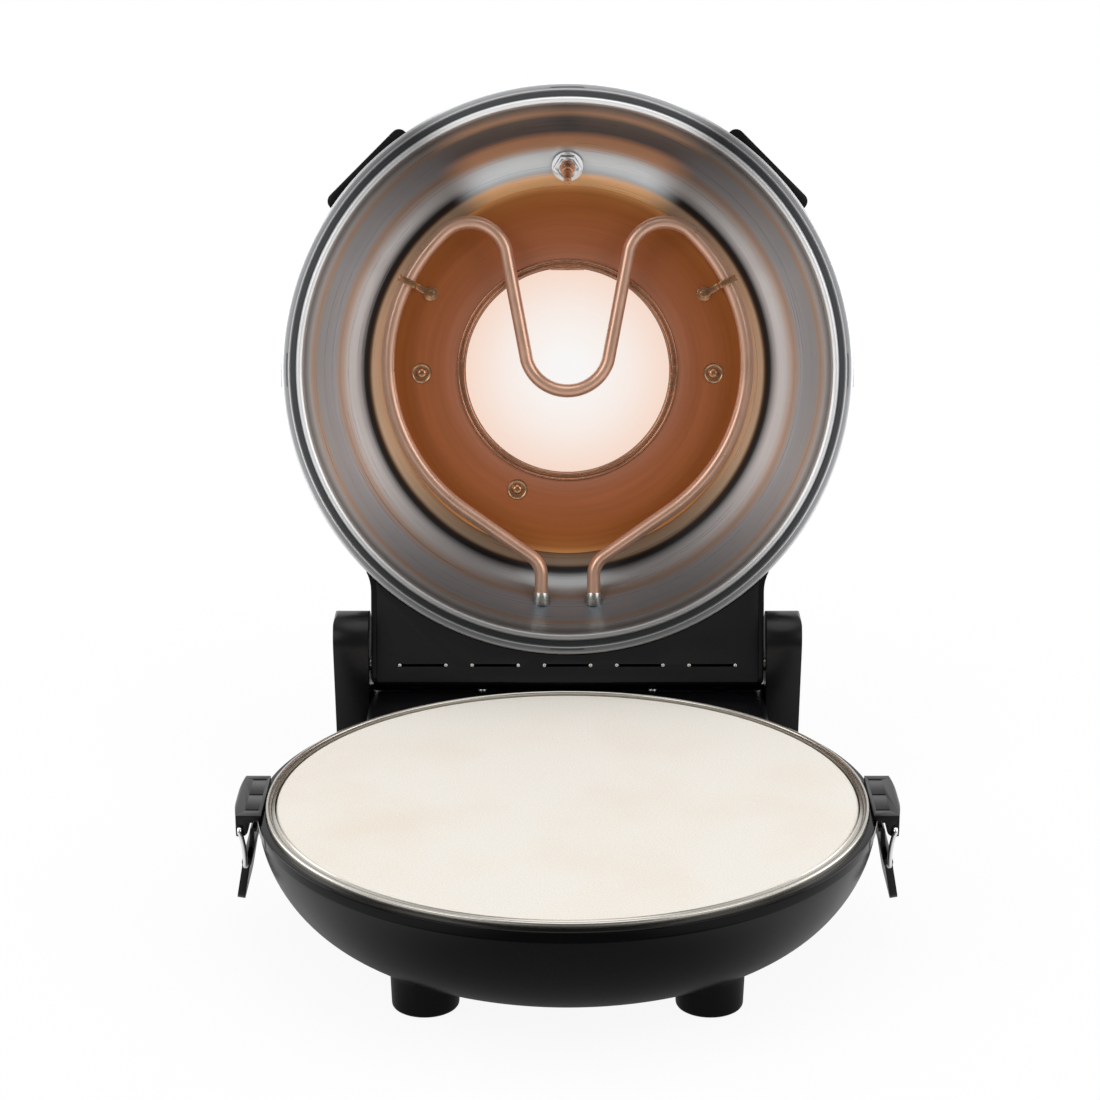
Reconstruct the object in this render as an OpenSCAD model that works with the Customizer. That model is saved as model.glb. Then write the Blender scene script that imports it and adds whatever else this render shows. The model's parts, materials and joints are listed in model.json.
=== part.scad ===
// Electric pizza maker: a bowl-shaped base with a stone, and a domed lid on two rear towers.
// Millimetres, +Z up. The object stands on z = 0 and its front looks along -Y.
// The lid is drawn open, as it rests on its stop; open_angle turns it down to closed.

/* [Stone] */
// Diameter of the baking stone
stone_d = 310; // [290:1:330]
// Thickness of the baking stone
stone_t = 12; // [8:0.5:15]
// Radial gap between the stone and the pan
stone_gap = 0.7; // [0.4:0.1:1.5]

/* [Base] */
// Height of the rim ring above the table
base_h = 82; // [76:1:100]
// Width of the stainless rim ring
ring_w = 5.1; // [4.5:0.1:8]
// Height of the stainless rim ring
ring_h = 3.4; // [3:0.1:5]
// Width of the black rim outside the ring
rim_w = 4.2; // [3.5:0.1:8]
// Height of the black rim band
rim_band_h = 6; // [5:0.5:9]
// Wall of the bowl shell
shell_wall = 3; // [2.5:0.1:4]
// Height of the bowl's flat bottom above the table
bowl_clear = 14; // [12:0.5:20]
// Radius of the bowl's flat bottom
bowl_bottom_r = 90; // [84:1:100]
// Radius of the bottom cover
cover_r = 83; // [70:1:86]
// Thickness of the bottom cover
cover_t = 1.6; // [1:0.1:2.4]
// Sheet thickness of the reflector pan
pan_t = 0.8; // [0.6:0.1:1.2]
// Depth of the pan's floor below the ledge that the stone stands on
pan_depth = 32; // [28:1:36]
// Width of the ledge that the stone stands on
ledge_w = 12; // [8:1:16]

/* [Feet] */
// Diameter of a foot
foot_d = 36; // [28:1:40]
// Sideways distance of a foot from the middle
foot_x = 73; // [66:1:78]
// Distance of a foot from the bowl's axis, front to back
foot_y = 85; // [78:1:90]
// Diameter of a rubber pad
pad_d = 24; // [18:1:26]
// Thickness of a rubber pad
pad_t = 4; // [3:0.5:5]
// How far a pad stands out below its foot
pad_out = 1.5; // [1:0.5:2]
// Diameter of the screws in the feet
foot_screw_d = 4; // [3:0.5:5]

/* [Heaters] */
// Diameter of the heater tubes
tube_d = 8; // [5:0.5:9]
// Radius of the lower heater's ring
lower_heater_r = 100; // [85:1:112]
// Distance between the two legs of a heater
heater_leg_gap = 31.5; // [26:0.5:36]
// Height of the lower heater's middle above the pan's floor
lower_heater_lift = 14; // [11:0.5:18]
// Radius of the upper heater's large bend
upper_heater_r = 107.5; // [98:0.5:108.5]
// How far the large bend's centre lies forward of the lid's axis
upper_heater_shift = 4; // [2:0.5:5]
// Gap between the upper heater's middle and the ceiling
upper_heater_drop = 17; // [12:0.5:22]
// Bend radius at the two front shoulders of the upper heater
shoulder_r = 22.5; // [18:0.5:25]
// Bend radius of the upper heater's middle loop
loop_r = 25.5; // [20:0.5:28]
// How far the middle loop's centre lies forward of the lid's axis
loop_shift = 13; // [8:1:18]

/* [Lid] */
// Gap between the closed lid's lip and the rim ring
lid_gap = 0.6; // [0.4:0.1:1.5]
// How far the lid's rolled lip stands out beyond the base's rim
lid_over = 1; // [0:0.5:3]
// Height of the rolled lip
lip_h = 4.4; // [3.6:0.2:6]
// Width of the rolled lip
lip_w = 4.6; // [4:0.2:6]
// Width of the dark groove inside the lip
groove_w = 3.4; // [2.5:0.1:5]
// Radius of the round bead inside the groove
bead_r = 1.9; // [1.4:0.1:2.4]
// Height of the ceiling above the lip's lower face
ceiling_h = 74; // [66:1:78]
// Radius of the flat ceiling
ceiling_r = 111.5; // [104:0.5:114]
// Sheet thickness of the liner
liner_t = 1.2; // [0.8:0.1:1.6]
// Thickness of the heat-tinted ceiling plate
plate_t = 0.8; // [0.6:0.1:1.2]
// Height of the lid shell's top above the liner's ceiling
crown_h = 12.8; // [11:0.1:20]
// Radius of the lid shell's flat top
shell_top_r = 98; // [90:1:104]
// Wall of the lid shell
lid_wall = 3; // [2.5:0.1:3.5]

/* [Window] */
// Radius of the clear opening of the window
window_r = 62; // [45:0.5:66]
// Thickness of the window glass
glass_t = 4; // [3:0.5:5]
// Width of the inner window frame
frame_w = 5; // [4:0.5:8]
// Width of the outer window bezel
bezel_w = 13; // [10:0.5:16]

/* [Hinge and arm] */
// Distance of the hinge behind the lid's lip
hinge_back = 6.5; // [4:0.5:8]
// Height of the hinge above the rim ring
hinge_h = 12; // [11:0.5:15]
// Opening angle of the lid at its stop
open_angle = 104.5; // [95:0.5:106]
// Half of the arm's width
arm_half = 114.7; // [106:0.1:116]
// Distance of the arm's rear end behind the hinge
arm_back = 13; // [12:0.5:15]
// Distance of the arm's lower face below the hinge
arm_drop = 10; // [9:0.5:10.5]
// Slope of the arm's top face
arm_slope = 14; // [8:1:18]
// Height of the arm's top face above the hinge, straight over it
arm_rise = 35.5; // [32:0.5:38]
// Radius of the fillets where the arm flares into the lid
flare_r = 25; // [18:1:32]
// Thickness of the cover below the arm
arm_cover_t = 2.5; // [2:0.1:3]
// Length of a vent slot in the arm cover
vent_l = 27; // [16:1:32]
// Distance between two vent slots, middle to middle
vent_pitch = 42.3; // [38:0.1:44]
// Width of a vent slot
vent_w = 1.6; // [1.2:0.1:2.4]
// Side gap between the arm and a tower
tower_gap = 1.2; // [0.8:0.1:2]
// Width of a tower
tower_w = 20.5; // [16:0.5:26]
// Radius of a tower's round top
tower_r = 18; // [16:0.5:20]
// Height of the round top's centre above the hinge
tower_rise = 14; // [8:1:20]
// Depth of the towers and the rear housing below the rim ring
tower_depth = 42; // [38:1:50]
// Diameter of the hinge pins
pin_d = 8; // [6:0.5:9]
// Radial running clearance of pins, shafts and wires
run_fit = 0.05; // [0.03:0.01:0.09]

/* [Handle] */
// Angle of each handle foot from the front
foot_angle = 45; // [40:1:50]
// How far a handle foot's flat face stands out from the lid's lip
foot_out = 3.5; // [2.5:0.5:6]
// Width of a handle foot
foot_w = 62; // [40:1:66]
// How far the handle bar stands out from the lid's lip
bar_out = 3; // [-1:0.5:3]
// Radial thickness of the handle bar
bar_t = 15; // [12:0.5:18]
// Height of the handle bar
bar_h = 18; // [14:0.5:22]
// Height of the bar's top above the lid shell's top
bar_over = 4; // [2:1:8]

/* [Latches] */
// Length of a side grip, front to back
grip_l = 56; // [44:1:60]
// Distance of a grip's outer edge from the middle
grip_x = 176.8; // [175:0.2:182]
// Diameter of the latch wire
wire_d = 2.2; // [1.8:0.1:2.6]
// Distance between the wire's two pivots, upper to lower
wire_l = 21.4; // [20:0.2:24]
// Length of the lever below its pivot
lever_l = 23; // [18:0.5:26]
// Thickness of the lever
lever_t = 4.2; // [3.6:0.1:5]
// Width of the lever
lever_w = 48; // [30:1:50]
// Width of the lever's hook
hook_w = 18; // [12:1:24]

/* [Controls] */
// Distance of the knobs and lamps in front of the hinge
control_in = 12; // [10:0.5:16]
// Sideways distance of a knob from the middle
knob_x = 70; // [68:1:74]
// Diameter of a knob
knob_d = 34; // [28:1:38]
// Height of a knob
knob_h = 15; // [12:0.5:20]
// Number of ribs round a knob
knob_ribs = 24; // [16:2:32]
// Diameter of a knob's shaft
shaft_d = 6; // [5:0.5:7]
// Sideways distance of an indicator lamp from the middle
lamp_x = 12; // [9:1:18]
// Diameter of an indicator lamp
lamp_d = 8; // [6:0.5:10]

/* [Hidden] */

// The bowl's axis lies this far in front of the middle of the open object
axis_y = -84.9;
// Thickness by which a cut passes the face it opens
cut = 1;
// Gap between two pieces of one body that are assembled loosely
fit = 0.2;
// Corner radius used on the moulded edges
edge_r = 4;
black = [0.09, 0.09, 0.1];
dark = [0.16, 0.16, 0.17];
steel = [0.72, 0.72, 0.74];
bright = [0.85, 0.86, 0.88];
bronze = [0.62, 0.38, 0.22];
cream = [0.93, 0.9, 0.83];
clear = [0.85, 0.93, 0.95, 0.4];
rubber = [0.12, 0.12, 0.12];
white = [0.9, 0.9, 0.88];

stone_r = stone_d / 2;
ring_in = stone_r + stone_gap;
ring_out = ring_in + ring_w;
shell_r = ring_out + rim_w;
rim_top = base_h - 3;
rebate_z = base_h - ring_h - pan_t;
stone_top = base_h - 1;
stone_seat = 0.3;
ledge_z = stone_top - stone_t - stone_seat;
pan_out = ring_in + pan_t;
pan_in = ring_in - ledge_w;
pan_floor = ledge_z - pan_depth;
bowl_top_r = shell_r - 0.8;
bowl_top_z = rim_top - rim_band_h;
shell_in = pan_out + 0.8;

lid_r = shell_r + lid_over;
lid_z = base_h + lid_gap;
shell_h = ceiling_h + liner_t + crown_h;
hinge_y = lid_r + hinge_back;
hinge_z = base_h + hinge_h;
control_y = hinge_y - control_in;
foot_face = lid_r + foot_out;
bar_r = lid_r + bar_out;
bar_top = shell_h + bar_over;
hinge_up = hinge_z - lid_z;
tower_in = arm_half + tower_gap;
tower_out = tower_in + tower_w;
tower_top = hinge_z + tower_rise + tower_r;
back_y = hinge_y + tower_r;
under = hinge_up - arm_drop;
lip_clear = lid_r + 0.3;
boss_d = pin_d + 10;
rear = hinge_y + arm_back;
wall_r = lid_r - lip_w - groove_w - 2 * bead_r;
bead_mid = wall_r + bead_r;
glass_z = ceiling_h + liner_t;
heater_z = ceiling_h - plate_t - upper_heater_drop;
floor_heater_z = pan_floor + pan_t + lower_heater_lift;

pivot_x = grip_x - 4.5;
pivot_z = base_h - 7;
wire_lean = 6.5;
wire_bend = 1.8;
wire_y = grip_l / 2 + wire_bend + 0.4;
lower_x = pivot_x - wire_l * sin(wire_lean);
lower_z = pivot_z - wire_l * cos(wire_lean);
lever_lean = 10;
catch_z = 18;
catch_in = lid_r - 26;
gland_x = -(tower_in - 36);
gland_z = base_h - 26;
arm_front = lid_r - 96;

foot_places = [for (x = [-1, 1], y = [-1, 1]) [x * foot_x, y * foot_y]];

// ---------- places ----------

module placed() {
    translate([0, axis_y, 0]) children();
}

// The lid's own frame: z = 0 is the lip's lower face and the dome's axis stands at x = y = 0
module on_lid() {
    placed()
        translate([0, hinge_y, hinge_z])
        rotate([-open_angle, 0, 0])
        translate([0, -hinge_y, -hinge_up])
        children();
}

// The sloping top face of the arm, with +Z along its normal
module on_arm_top(x) {
    translate([x, control_y, hinge_up + arm_rise + (hinge_y - control_y) * tan(arm_slope)])
        rotate([-arm_slope, 0, 0])
        children();
}

module both_sides() {
    children();
    mirror([1, 0, 0]) children();
}

// ---------- outlines ----------

function arc_pts(c, r, a0, a1, n) =
    [for (i = [0:n]) let (a = a0 + (a1 - a0) * i / n) [c[0] + r * cos(a), c[1] + r * sin(a)]];

// A rectangle from corner p to corner q with round corners
function rounded_pts(p, q, r, n = 5) = concat(
    arc_pts([q[0] - r, p[1] + r], r, -90, 0, n),
    arc_pts([q[0] - r, q[1] - r], r, 0, 90, n),
    arc_pts([p[0] + r, q[1] - r], r, 90, 180, n),
    arc_pts([p[0] + r, p[1] + r], r, 180, 270, n)
);

// Quarter of an ellipse from the wall at (r0 + rr, z0) up to the crown at (r0, z0 + rz)
function dome_pts(r0, rr, z0, rz, n = 12) =
    [for (i = [0:n]) let (a = 90 * i / n) [r0 + rr * cos(a), z0 + rz * sin(a)]];

// The bowl's flank, from the flat bottom out and up to the rim
function bowl_pts(r0, r1, z0, z1, n = 14) =
    [for (i = [0:n]) let (a = 90 * i / n)
        [r0 + (r1 - r0) * pow(sin(a), 0.77), z1 - (z1 - z0) * pow(cos(a), 1.25)]];

// ---------- tubes bent along a path ----------

function unit(v) = v / norm(v);

function path_dir(p, i) =
    unit(p[min(i + 1, len(p) - 1)] - p[max(i - 1, 0)]);

// A round bar along the points p; ref is a direction that the path never takes
module bent_bar(p, r, sides, ref) {
    rings = [for (i = [0:len(p) - 1])
        let (t = path_dir(p, i), n = unit(cross(t, ref)), b = cross(t, n))
        [for (k = [0:sides - 1]) p[i] + r * (cos(360 * k / sides) * n + sin(360 * k / sides) * b)]];
    last = len(p) - 1;
    polyhedron(
        points = [for (ring = rings, q = ring) q],
        faces = concat(
            [[for (k = [0:sides - 1]) k]],
            [[for (k = [0:sides - 1]) last * sides + sides - 1 - k]],
            [for (i = [0:last - 1], k = [0:sides - 1])
                let (a = i * sides + k, b = i * sides + (k + 1) % sides)
                [a, a + sides, b + sides, b]]
        ),
        convexity = 8
    );
}

// ---------- base ----------

module bowl_outside(grow = 0) {
    rotate_extrude($fn = 96)
        polygon(concat(
            [[0, bowl_clear - grow]],
            bowl_pts(bowl_bottom_r, bowl_top_r + grow, bowl_clear - grow, bowl_top_z),
            [[shell_r + grow, bowl_top_z + 0.8], [shell_r + grow, rim_top], [0, rim_top]]
        ));
}

module base_shell() {
    in_r = bowl_top_r - shell_wall;
    inside = bowl_pts(bowl_bottom_r - 1, in_r, bowl_clear + shell_wall, bowl_top_z - 3);
    color(black) placed() {
        difference() {
            union() {
                rotate_extrude($fn = 96)
                    polygon(concat(
                        [[cover_r - edge_r, bowl_clear], [bowl_bottom_r, bowl_clear]],
                        bowl_pts(bowl_bottom_r, bowl_top_r, bowl_clear, bowl_top_z),
                        [
                            [shell_r, bowl_top_z + 0.8],
                            [shell_r, rim_top - 1],
                            [shell_r - 1, rim_top],
                            [ring_out + 0.1, rim_top],
                            [ring_out + 0.1, rebate_z],
                            [shell_in, rebate_z],
                            [shell_in, rebate_z - 3]
                        ],
                        [for (i = [len(inside) - 1:-1:0]) inside[i]],
                        [[cover_r - edge_r, bowl_clear + shell_wall]]
                    ));
                intersection() {
                    bowl_outside();
                    for (p = foot_places)
                        translate([p[0], p[1], bowl_clear])
                        cylinder(r = foot_screw_d * 1.6, h = 16, $fn = 32);
                }
            }
            translate([0, 0, bowl_clear - cut])
                cylinder(r = cover_r + fit, h = cut + cover_t, $fn = 96);
            for (p = foot_places)
                translate([p[0], p[1], 0])
                cylinder(d = foot_screw_d + 2 * run_fit, h = bowl_clear + 12, $fn = 24);
            for (a = [45:90:315])
                rotate(a)
                translate([cover_r - 2, 0, bowl_clear - cut])
                cylinder(d = 3 + 2 * run_fit, h = 9, $fn = 20);
            // pockets for the tongues of the side grips
            both_sides()
                for (y = [-1, 1])
                translate([ring_out + 1.2 - fit / 2, y * 9 - 3 - fit / 2, rim_top - 4.2])
                cube([1.8 + fit, 6 + fit, 4.2 + cut]);
            // holes for the legs of the lower heater
            for (x = [-1, 1])
                translate([x * heater_leg_gap / 2, shell_r, floor_heater_z])
                rotate([90, 0, 0])
                cylinder(d = tube_d + 6, h = 40, center = true, $fn = 40);
        }
    }
}

module rim_ring() {
    lip = 1.3;
    color(steel) placed()
        rotate_extrude($fn = 96)
        polygon(concat(
            [[ring_in, base_h - ring_h], [ring_out, base_h - ring_h]],
            arc_pts([ring_out - lip, base_h - lip], lip, 0, 180, 8),
            [
                [ring_out - 2 * lip, base_h - 1.9],
                [ring_in + 1.1, base_h - 1.4],
                [ring_in, base_h - 0.5]
            ]
        ));
}

module base_pan() {
    floor_r = pan_in - 6;
    color(steel) placed()
        difference() {
            rotate_extrude($fn = 96)
                polygon([
                    [ring_out - 0.3, rebate_z + pan_t],
                    [ring_in, rebate_z + pan_t],
                    [ring_in, ledge_z],
                    [pan_in, ledge_z],
                    [floor_r, pan_floor + pan_t],
                    [0, pan_floor + pan_t],
                    [0, pan_floor],
                    [floor_r + 0.6, pan_floor],
                    [pan_in + 0.6, ledge_z - pan_t],
                    [pan_out, ledge_z - pan_t],
                    [pan_out, rebate_z],
                    [ring_out - 0.3, rebate_z]
                ]);
            for (x = [-1, 1])
                translate([x * heater_leg_gap / 2, pan_in, floor_heater_z])
                rotate([90, 0, 0])
                cylinder(d = tube_d + 2, h = 30, center = true, $fn = 32);
        }
}

// A ring with two legs that leave it to the rear
function lower_heater_path() =
    let (
        leg = heater_leg_gap / 2,
        bend = 10,
        reach = lower_heater_r + bend,
        a = asin((leg + bend) / reach),
        y = reach * cos(a),
        half = concat(
            [[leg, pan_in + 20]],
            arc_pts([leg + bend, y], bend, 180, 270 - a, 5),
            arc_pts([0, 0], lower_heater_r, 90 - a - 8, -90, 24)
        )
    )
    concat(
        [for (p = half) [p[0], p[1], floor_heater_z]],
        [for (i = [len(half) - 2:-1:0]) [-half[i][0], half[i][1], floor_heater_z]]
    );

module lower_heater() {
    color(dark) placed()
        bent_bar(lower_heater_path(), tube_d / 2, 10, [0, 0, 1]);
}

module heater_supports() {
    post = 5;
    top = floor_heater_z + tube_d / 2 + 1;
    color(steel) placed()
        for (a = [-90, 30, 150])
        rotate(a)
        translate([lower_heater_r, 0, 0])
        difference() {
            translate([-tube_d, -post / 2, pan_floor + pan_t])
                cube([2 * tube_d, post, top - pan_floor - pan_t]);
            translate([0, 0, floor_heater_z])
                rotate([90, 0, 0])
                cylinder(d = tube_d + 0.6, h = post + 2 * cut, center = true, $fn = 32);
            translate([-tube_d / 2 + 1, -post / 2 - cut, floor_heater_z])
                cube([tube_d - 2, post + 2 * cut, tube_d]);
        }
}

module base_cover() {
    slot_l = 42;
    color(dark) placed()
        translate([0, 0, bowl_clear])
        difference() {
            cylinder(r = cover_r, h = cover_t, $fn = 96);
            for (a = [45:90:315])
                rotate(a)
                translate([cover_r - 2, 0, -cut])
                cylinder(d = 3.4, h = cover_t + 2 * cut, $fn = 20);
            for (x = [-1, 1], i = [-3:3])
                translate([x * 34 - slot_l / 2, i * 11 - 1.5, -cut])
                cube([slot_l, 3, cover_t + 2 * cut]);
        }
}

module cover_screws() {
    color(steel) placed()
        for (a = [45:90:315])
        rotate(a)
        translate([cover_r - 2, 0, bowl_clear]) {
            translate([0, 0, -1.6]) cylinder(d = 5.6, h = 1.6, $fn = 24);
            cylinder(d = 3, h = 6, $fn = 20);
        }
}

module foot(p) {
    color(black) placed()
        difference() {
            translate([p[0], p[1], pad_out])
                rotate_extrude($fn = 48)
                polygon(concat(
                    [[0, 0]],
                    arc_pts([foot_d / 2 - 2.6, 2], 2, -90, 0, 4),
                    [[foot_d / 2, 18], [foot_d / 2, 30], [0, 30]]
                ));
            bowl_outside();
            translate([p[0], p[1], 0]) {
                cylinder(d = pad_d + fit, h = pad_t, $fn = 48);
                cylinder(d = 9, h = pad_t + 3.4, $fn = 32);
                cylinder(d = foot_screw_d + 0.4, h = 40, $fn = 24);
            }
            translate([0, 0, rim_top - 30])
                cylinder(r = 2 * shell_r, h = 40, $fn = 48);
        }
}

module foot_pads() {
    color(rubber) placed()
        for (p = foot_places)
        translate([p[0], p[1], 0])
        rotate_extrude($fn = 48)
        polygon([[0, 0], [pad_d / 2 - 1, 0], [pad_d / 2, 1], [pad_d / 2, pad_t], [0, pad_t]]);
}

module foot_screws() {
    color(steel) placed()
        for (p = foot_places)
        translate([p[0], p[1], pad_t]) {
            cylinder(d = 7.6, h = 3.4, $fn = 32);
            cylinder(d = foot_screw_d, h = bowl_clear + 5, $fn = 24);
        }
}

// ---------- side grips and latches ----------

// Section of a grip across the object: top plate over the rim and a flange for the pivot
function grip_section() = concat(
    [[ring_out + 0.3, rim_top], [shell_r + 0.3, rim_top], [shell_r + 0.3, rim_top - 1]],
    [[grip_x - 8.8, rim_top - 1], [grip_x - 8.8, base_h - 8]],
    arc_pts([grip_x - 5, base_h - 8], 3.8, 180, 270, 5),
    arc_pts([grip_x - 4, base_h - 7.8], 4, 270, 360, 5),
    arc_pts([grip_x - 2, base_h - 2], 2, 0, 90, 4),
    [[ring_out + 0.3, base_h]]
);

module grip() {
    bow = 2.4;
    bow_r = (pow(grip_l / 2, 2) + bow * bow) / (2 * bow);
    difference() {
        intersection() {
            translate([0, grip_l / 2, 0])
                rotate([90, 0, 0])
                linear_extrude(grip_l)
                polygon(grip_section());
            // outer edge, slightly bowed in plan
            translate([grip_x - bow_r, 0, base_h - 20])
                cylinder(r = bow_r, h = 30, $fn = 180);
        }
        translate([0, 0, base_h - 20])
            cylinder(r = ring_out + 0.3, h = 30, $fn = 96);
        // three tread grooves across the top
        for (y = [-20, 1, 22])
            translate([ring_out + 2, y - 0.7, base_h - 0.7])
            cube([7.2, 1.4, 1 + cut]);
        for (y = [-1, 1])
            translate([pivot_x, y * (grip_l / 2 - 4.2), pivot_z])
            rotate([90, 0, 0])
            cylinder(d = wire_d + 2 * run_fit, h = 9, center = true, $fn = 24);
    }
    for (y = [-1, 1])
        translate([ring_out + 1.2, y * 9 - 3, rim_top - 4])
        cube([1.8, 6, 5]);
}

// Wire in the right side's place: two pivot ends, two bowed arms and a bar through the lever
function wire_corner(x, z, a0) =
    [for (i = [0:3]) let (a = a0 + 30 * i)
        [x, -wire_y + wire_bend + wire_bend * cos(a), z + wire_bend * sin(a)]];

function wire_half() =
    let (arm = [for (s = [0.25:0.125:0.75])
        [
            pivot_x - s * wire_l * sin(wire_lean) - 0.9 * sin(180 * s),
            -wire_y,
            pivot_z - s * wire_l * cos(wire_lean)
        ]])
    concat(
        [[pivot_x, -wire_y + 8, pivot_z]],
        wire_corner(pivot_x, pivot_z - wire_bend, 90),
        arm,
        wire_corner(lower_x, lower_z + wire_bend, 180)
    );

function wire_path() =
    let (half = wire_half())
    concat(half, [for (i = [len(half) - 1:-1:0]) [half[i][0], -half[i][1], half[i][2]]]);

module latch_wire() {
    bent_bar(wire_path(), wire_d / 2 - 0.06, 8, [1, 0, 0]);
    for (y = [-1, 1])
        translate([pivot_x, y * (wire_y - 5.3), pivot_z])
        rotate([90, 0, 0])
        cylinder(d = wire_d, h = 6, center = true, $fn = 24);
    translate([lower_x, 0, lower_z])
        rotate([90, 0, 0])
        cylinder(d = wire_d, h = 2 * (wire_y - wire_bend - 0.5), center = true, $fn = 24);
}

// The lever in the right side's place, drawn round its own pivot
module latch_lever() {
    eye = lever_t / 2 + 0.5;
    eye_over = 0.5;
    plate_w = lever_w - 2 * eye_over;
    translate([lower_x, 0, lower_z])
        difference() {
            union() {
                rotate([0, -lever_lean, 0])
                    translate([-lever_t / 2, -plate_w / 2, -lever_l])
                    rotate([90, 0, 90])
                    linear_extrude(lever_t)
                    polygon(concat(
                        arc_pts([6, 6], 6, 180, 270, 4),
                        arc_pts([plate_w - 6, 6], 6, 270, 360, 4),
                        [[plate_w, lever_l], [0, lever_l]]
                    ));
                rotate([90, 0, 0])
                    cylinder(r = eye, h = lever_w, center = true, $fn = 32);
                // the hook stands up on the bowl's side and turns in at its top
                translate([0, hook_w / 2, 0])
                    rotate([90, 0, 0])
                    linear_extrude(hook_w)
                    polygon([
                        [-1.7, 0], [0.3, 0], [0.3, 2], [-0.2, 6], [-0.6, 12.4], [-1.8, 13.6],
                        [-4.2, 13.6], [-4.2, 11.2], [-2.8, 11.2], [-2.8, 5], [-1.7, 1.5]
                    ]);
            }
            rotate([90, 0, 0])
                cylinder(d = wire_d + 2 * run_fit, h = lever_w + 2 * cut, center = true, $fn = 24);
        }
}

module grip_right() {
    color(black) placed() grip();
}

module grip_left() {
    color(black) placed() mirror([1, 0, 0]) grip();
}

module wire_right() {
    color(bright) placed() latch_wire();
}

module wire_left() {
    color(bright) placed() mirror([1, 0, 0]) latch_wire();
}

module lever_right() {
    color(black) placed() latch_lever();
}

module lever_left() {
    color(black) placed() mirror([1, 0, 0]) latch_lever();
}

// ---------- rear housing and towers ----------

// Top of the housing at y: level up to the rim's edge, then sloping down under the open arm
function housing_top(y) = rim_top - max(y - shell_r - 1, 0) * tan(open_angle - 90);

// The housing's sloping top at x and y, with +Z along its normal
module on_housing_top(x, y) {
    translate([x, y, housing_top(y)])
        rotate([90 - open_angle, 0, 0])
        children();
}

module rear_housing() {
    bottom = base_h - tower_depth;
    wall = 3;
    front = 112;
    color(black) placed()
        difference() {
            intersection() {
                translate([0, back_y, 0])
                    rotate([90, 0, 0])
                    linear_extrude(back_y - front)
                    polygon(concat(
                        [[-tower_in, bottom], [tower_in, bottom]],
                        arc_pts([tower_in - 5, rim_top - 5], 5, 0, 90, 5),
                        arc_pts([-tower_in + 5, rim_top - 5], 5, 90, 180, 5)
                    ));
                translate([-tower_in, 0, 0])
                    rotate([90, 0, 90])
                    linear_extrude(2 * tower_in)
                    polygon([
                        [front, bottom], [back_y, bottom], [back_y, housing_top(back_y)],
                        [shell_r + 1, rim_top], [front, rim_top]
                    ]);
            }
            translate([-tower_in + wall, front - cut, bottom + wall])
                cube([
                    2 * (tower_in - wall), back_y - front + cut - wall,
                    housing_top(back_y) - bottom - 2 * wall
                ]);
            bowl_outside();
            translate([gland_x, back_y, gland_z])
                rotate([90, 0, 0])
                cylinder(d = 15 + 2 * run_fit, h = 20, center = true, $fn = 36);
            for (x = [-50, 50])
                on_housing_top(x, hinge_y - 3)
                cylinder(d = 3 + 2 * run_fit, h = 16, center = true, $fn = 20);
        }
}

module housing_screws() {
    color(bright) placed()
        for (x = [-50, 50])
        on_housing_top(x, hinge_y - 3) {
            cylinder(d = 6, h = 1.2, $fn = 24);
            translate([0, 0, -4.5]) cylinder(d = 3, h = 5, $fn = 20);
        }
}

// Soft stops on the housing, on which the arm's rear face rests when the lid is open
module stop_pads() {
    y = back_y - 8;
    gap = 0.3;
    rise = stop_gap(y) - gap;
    color(rubber) placed()
        for (x = [-90, 90])
        on_housing_top(x, y)
        cylinder(d = 10, h = rise, $fn = 32);
}

// Gap, square to the housing's slope, between it at y and the open arm's rear face
function stop_gap(y) =
    let (
        a = open_angle,
        // a point of the arm's rear face, and the face's normal, in the open pose
        p = [hinge_y + arm_back * cos(a), hinge_z - arm_back * sin(a)],
        n = [cos(a), -sin(a)]
    )
    (y - p[0]) * n[0] + (housing_top(y) - p[1]) * n[1];

module tower() {
    bottom = base_h - tower_depth;
    difference() {
        intersection() {
            translate([tower_in, 0, 0])
                rotate([90, 0, 90])
                linear_extrude(tower_w)
                polygon(concat(
                    [[hinge_y - tower_r + 6, bottom], [back_y, bottom]],
                    arc_pts([hinge_y, hinge_z + tower_rise], tower_r, 0, 180, 20),
                    [[hinge_y - tower_r, bottom + 10]]
                ));
            translate([0, back_y + cut, 0])
                rotate([90, 0, 0])
                linear_extrude(2 * tower_r + 2 * cut)
                polygon(concat(
                    [[tower_in, bottom], [tower_out - 1.5, bottom]],
                    arc_pts([tower_out - edge_r, tower_top - edge_r], edge_r, 0, 90, 5),
                    arc_pts([tower_in + 1.5, tower_top - 1.5], 1.5, 90, 180, 4)
                ));
        }
        translate([tower_in - cut, hinge_y, hinge_z])
            rotate([0, 90, 0])
            cylinder(d = pin_d + 2 * run_fit, h = 15 + cut, $fn = 40);
    }
}

module tower_right() {
    color(black) placed() tower();
}

module tower_left() {
    color(black) placed() mirror([1, 0, 0]) tower();
}

module hinge_pin() {
    translate([arm_half - 9, hinge_y, hinge_z])
        rotate([0, 90, 0])
        cylinder(d = pin_d, h = 9 + tower_gap + 14.5, $fn = 40);
}

module hinge_pin_right() {
    color(steel) placed() hinge_pin();
}

module hinge_pin_left() {
    color(steel) placed() mirror([1, 0, 0]) hinge_pin();
}

module cord_gland() {
    color(rubber) placed()
        translate([gland_x, back_y, gland_z])
        rotate([-90, 0, 0])
        difference() {
            union() {
                translate([0, 0, -5]) cylinder(d = 15, h = 6, $fn = 36);
                cylinder(d = 20, h = 2.5, $fn = 36);
                translate([0, 0, -7]) cylinder(d = 19, h = 4, $fn = 36);
            }
            translate([0, 0, -8]) cylinder(d = 7, h = 12, $fn = 32);
        }
}

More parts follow.
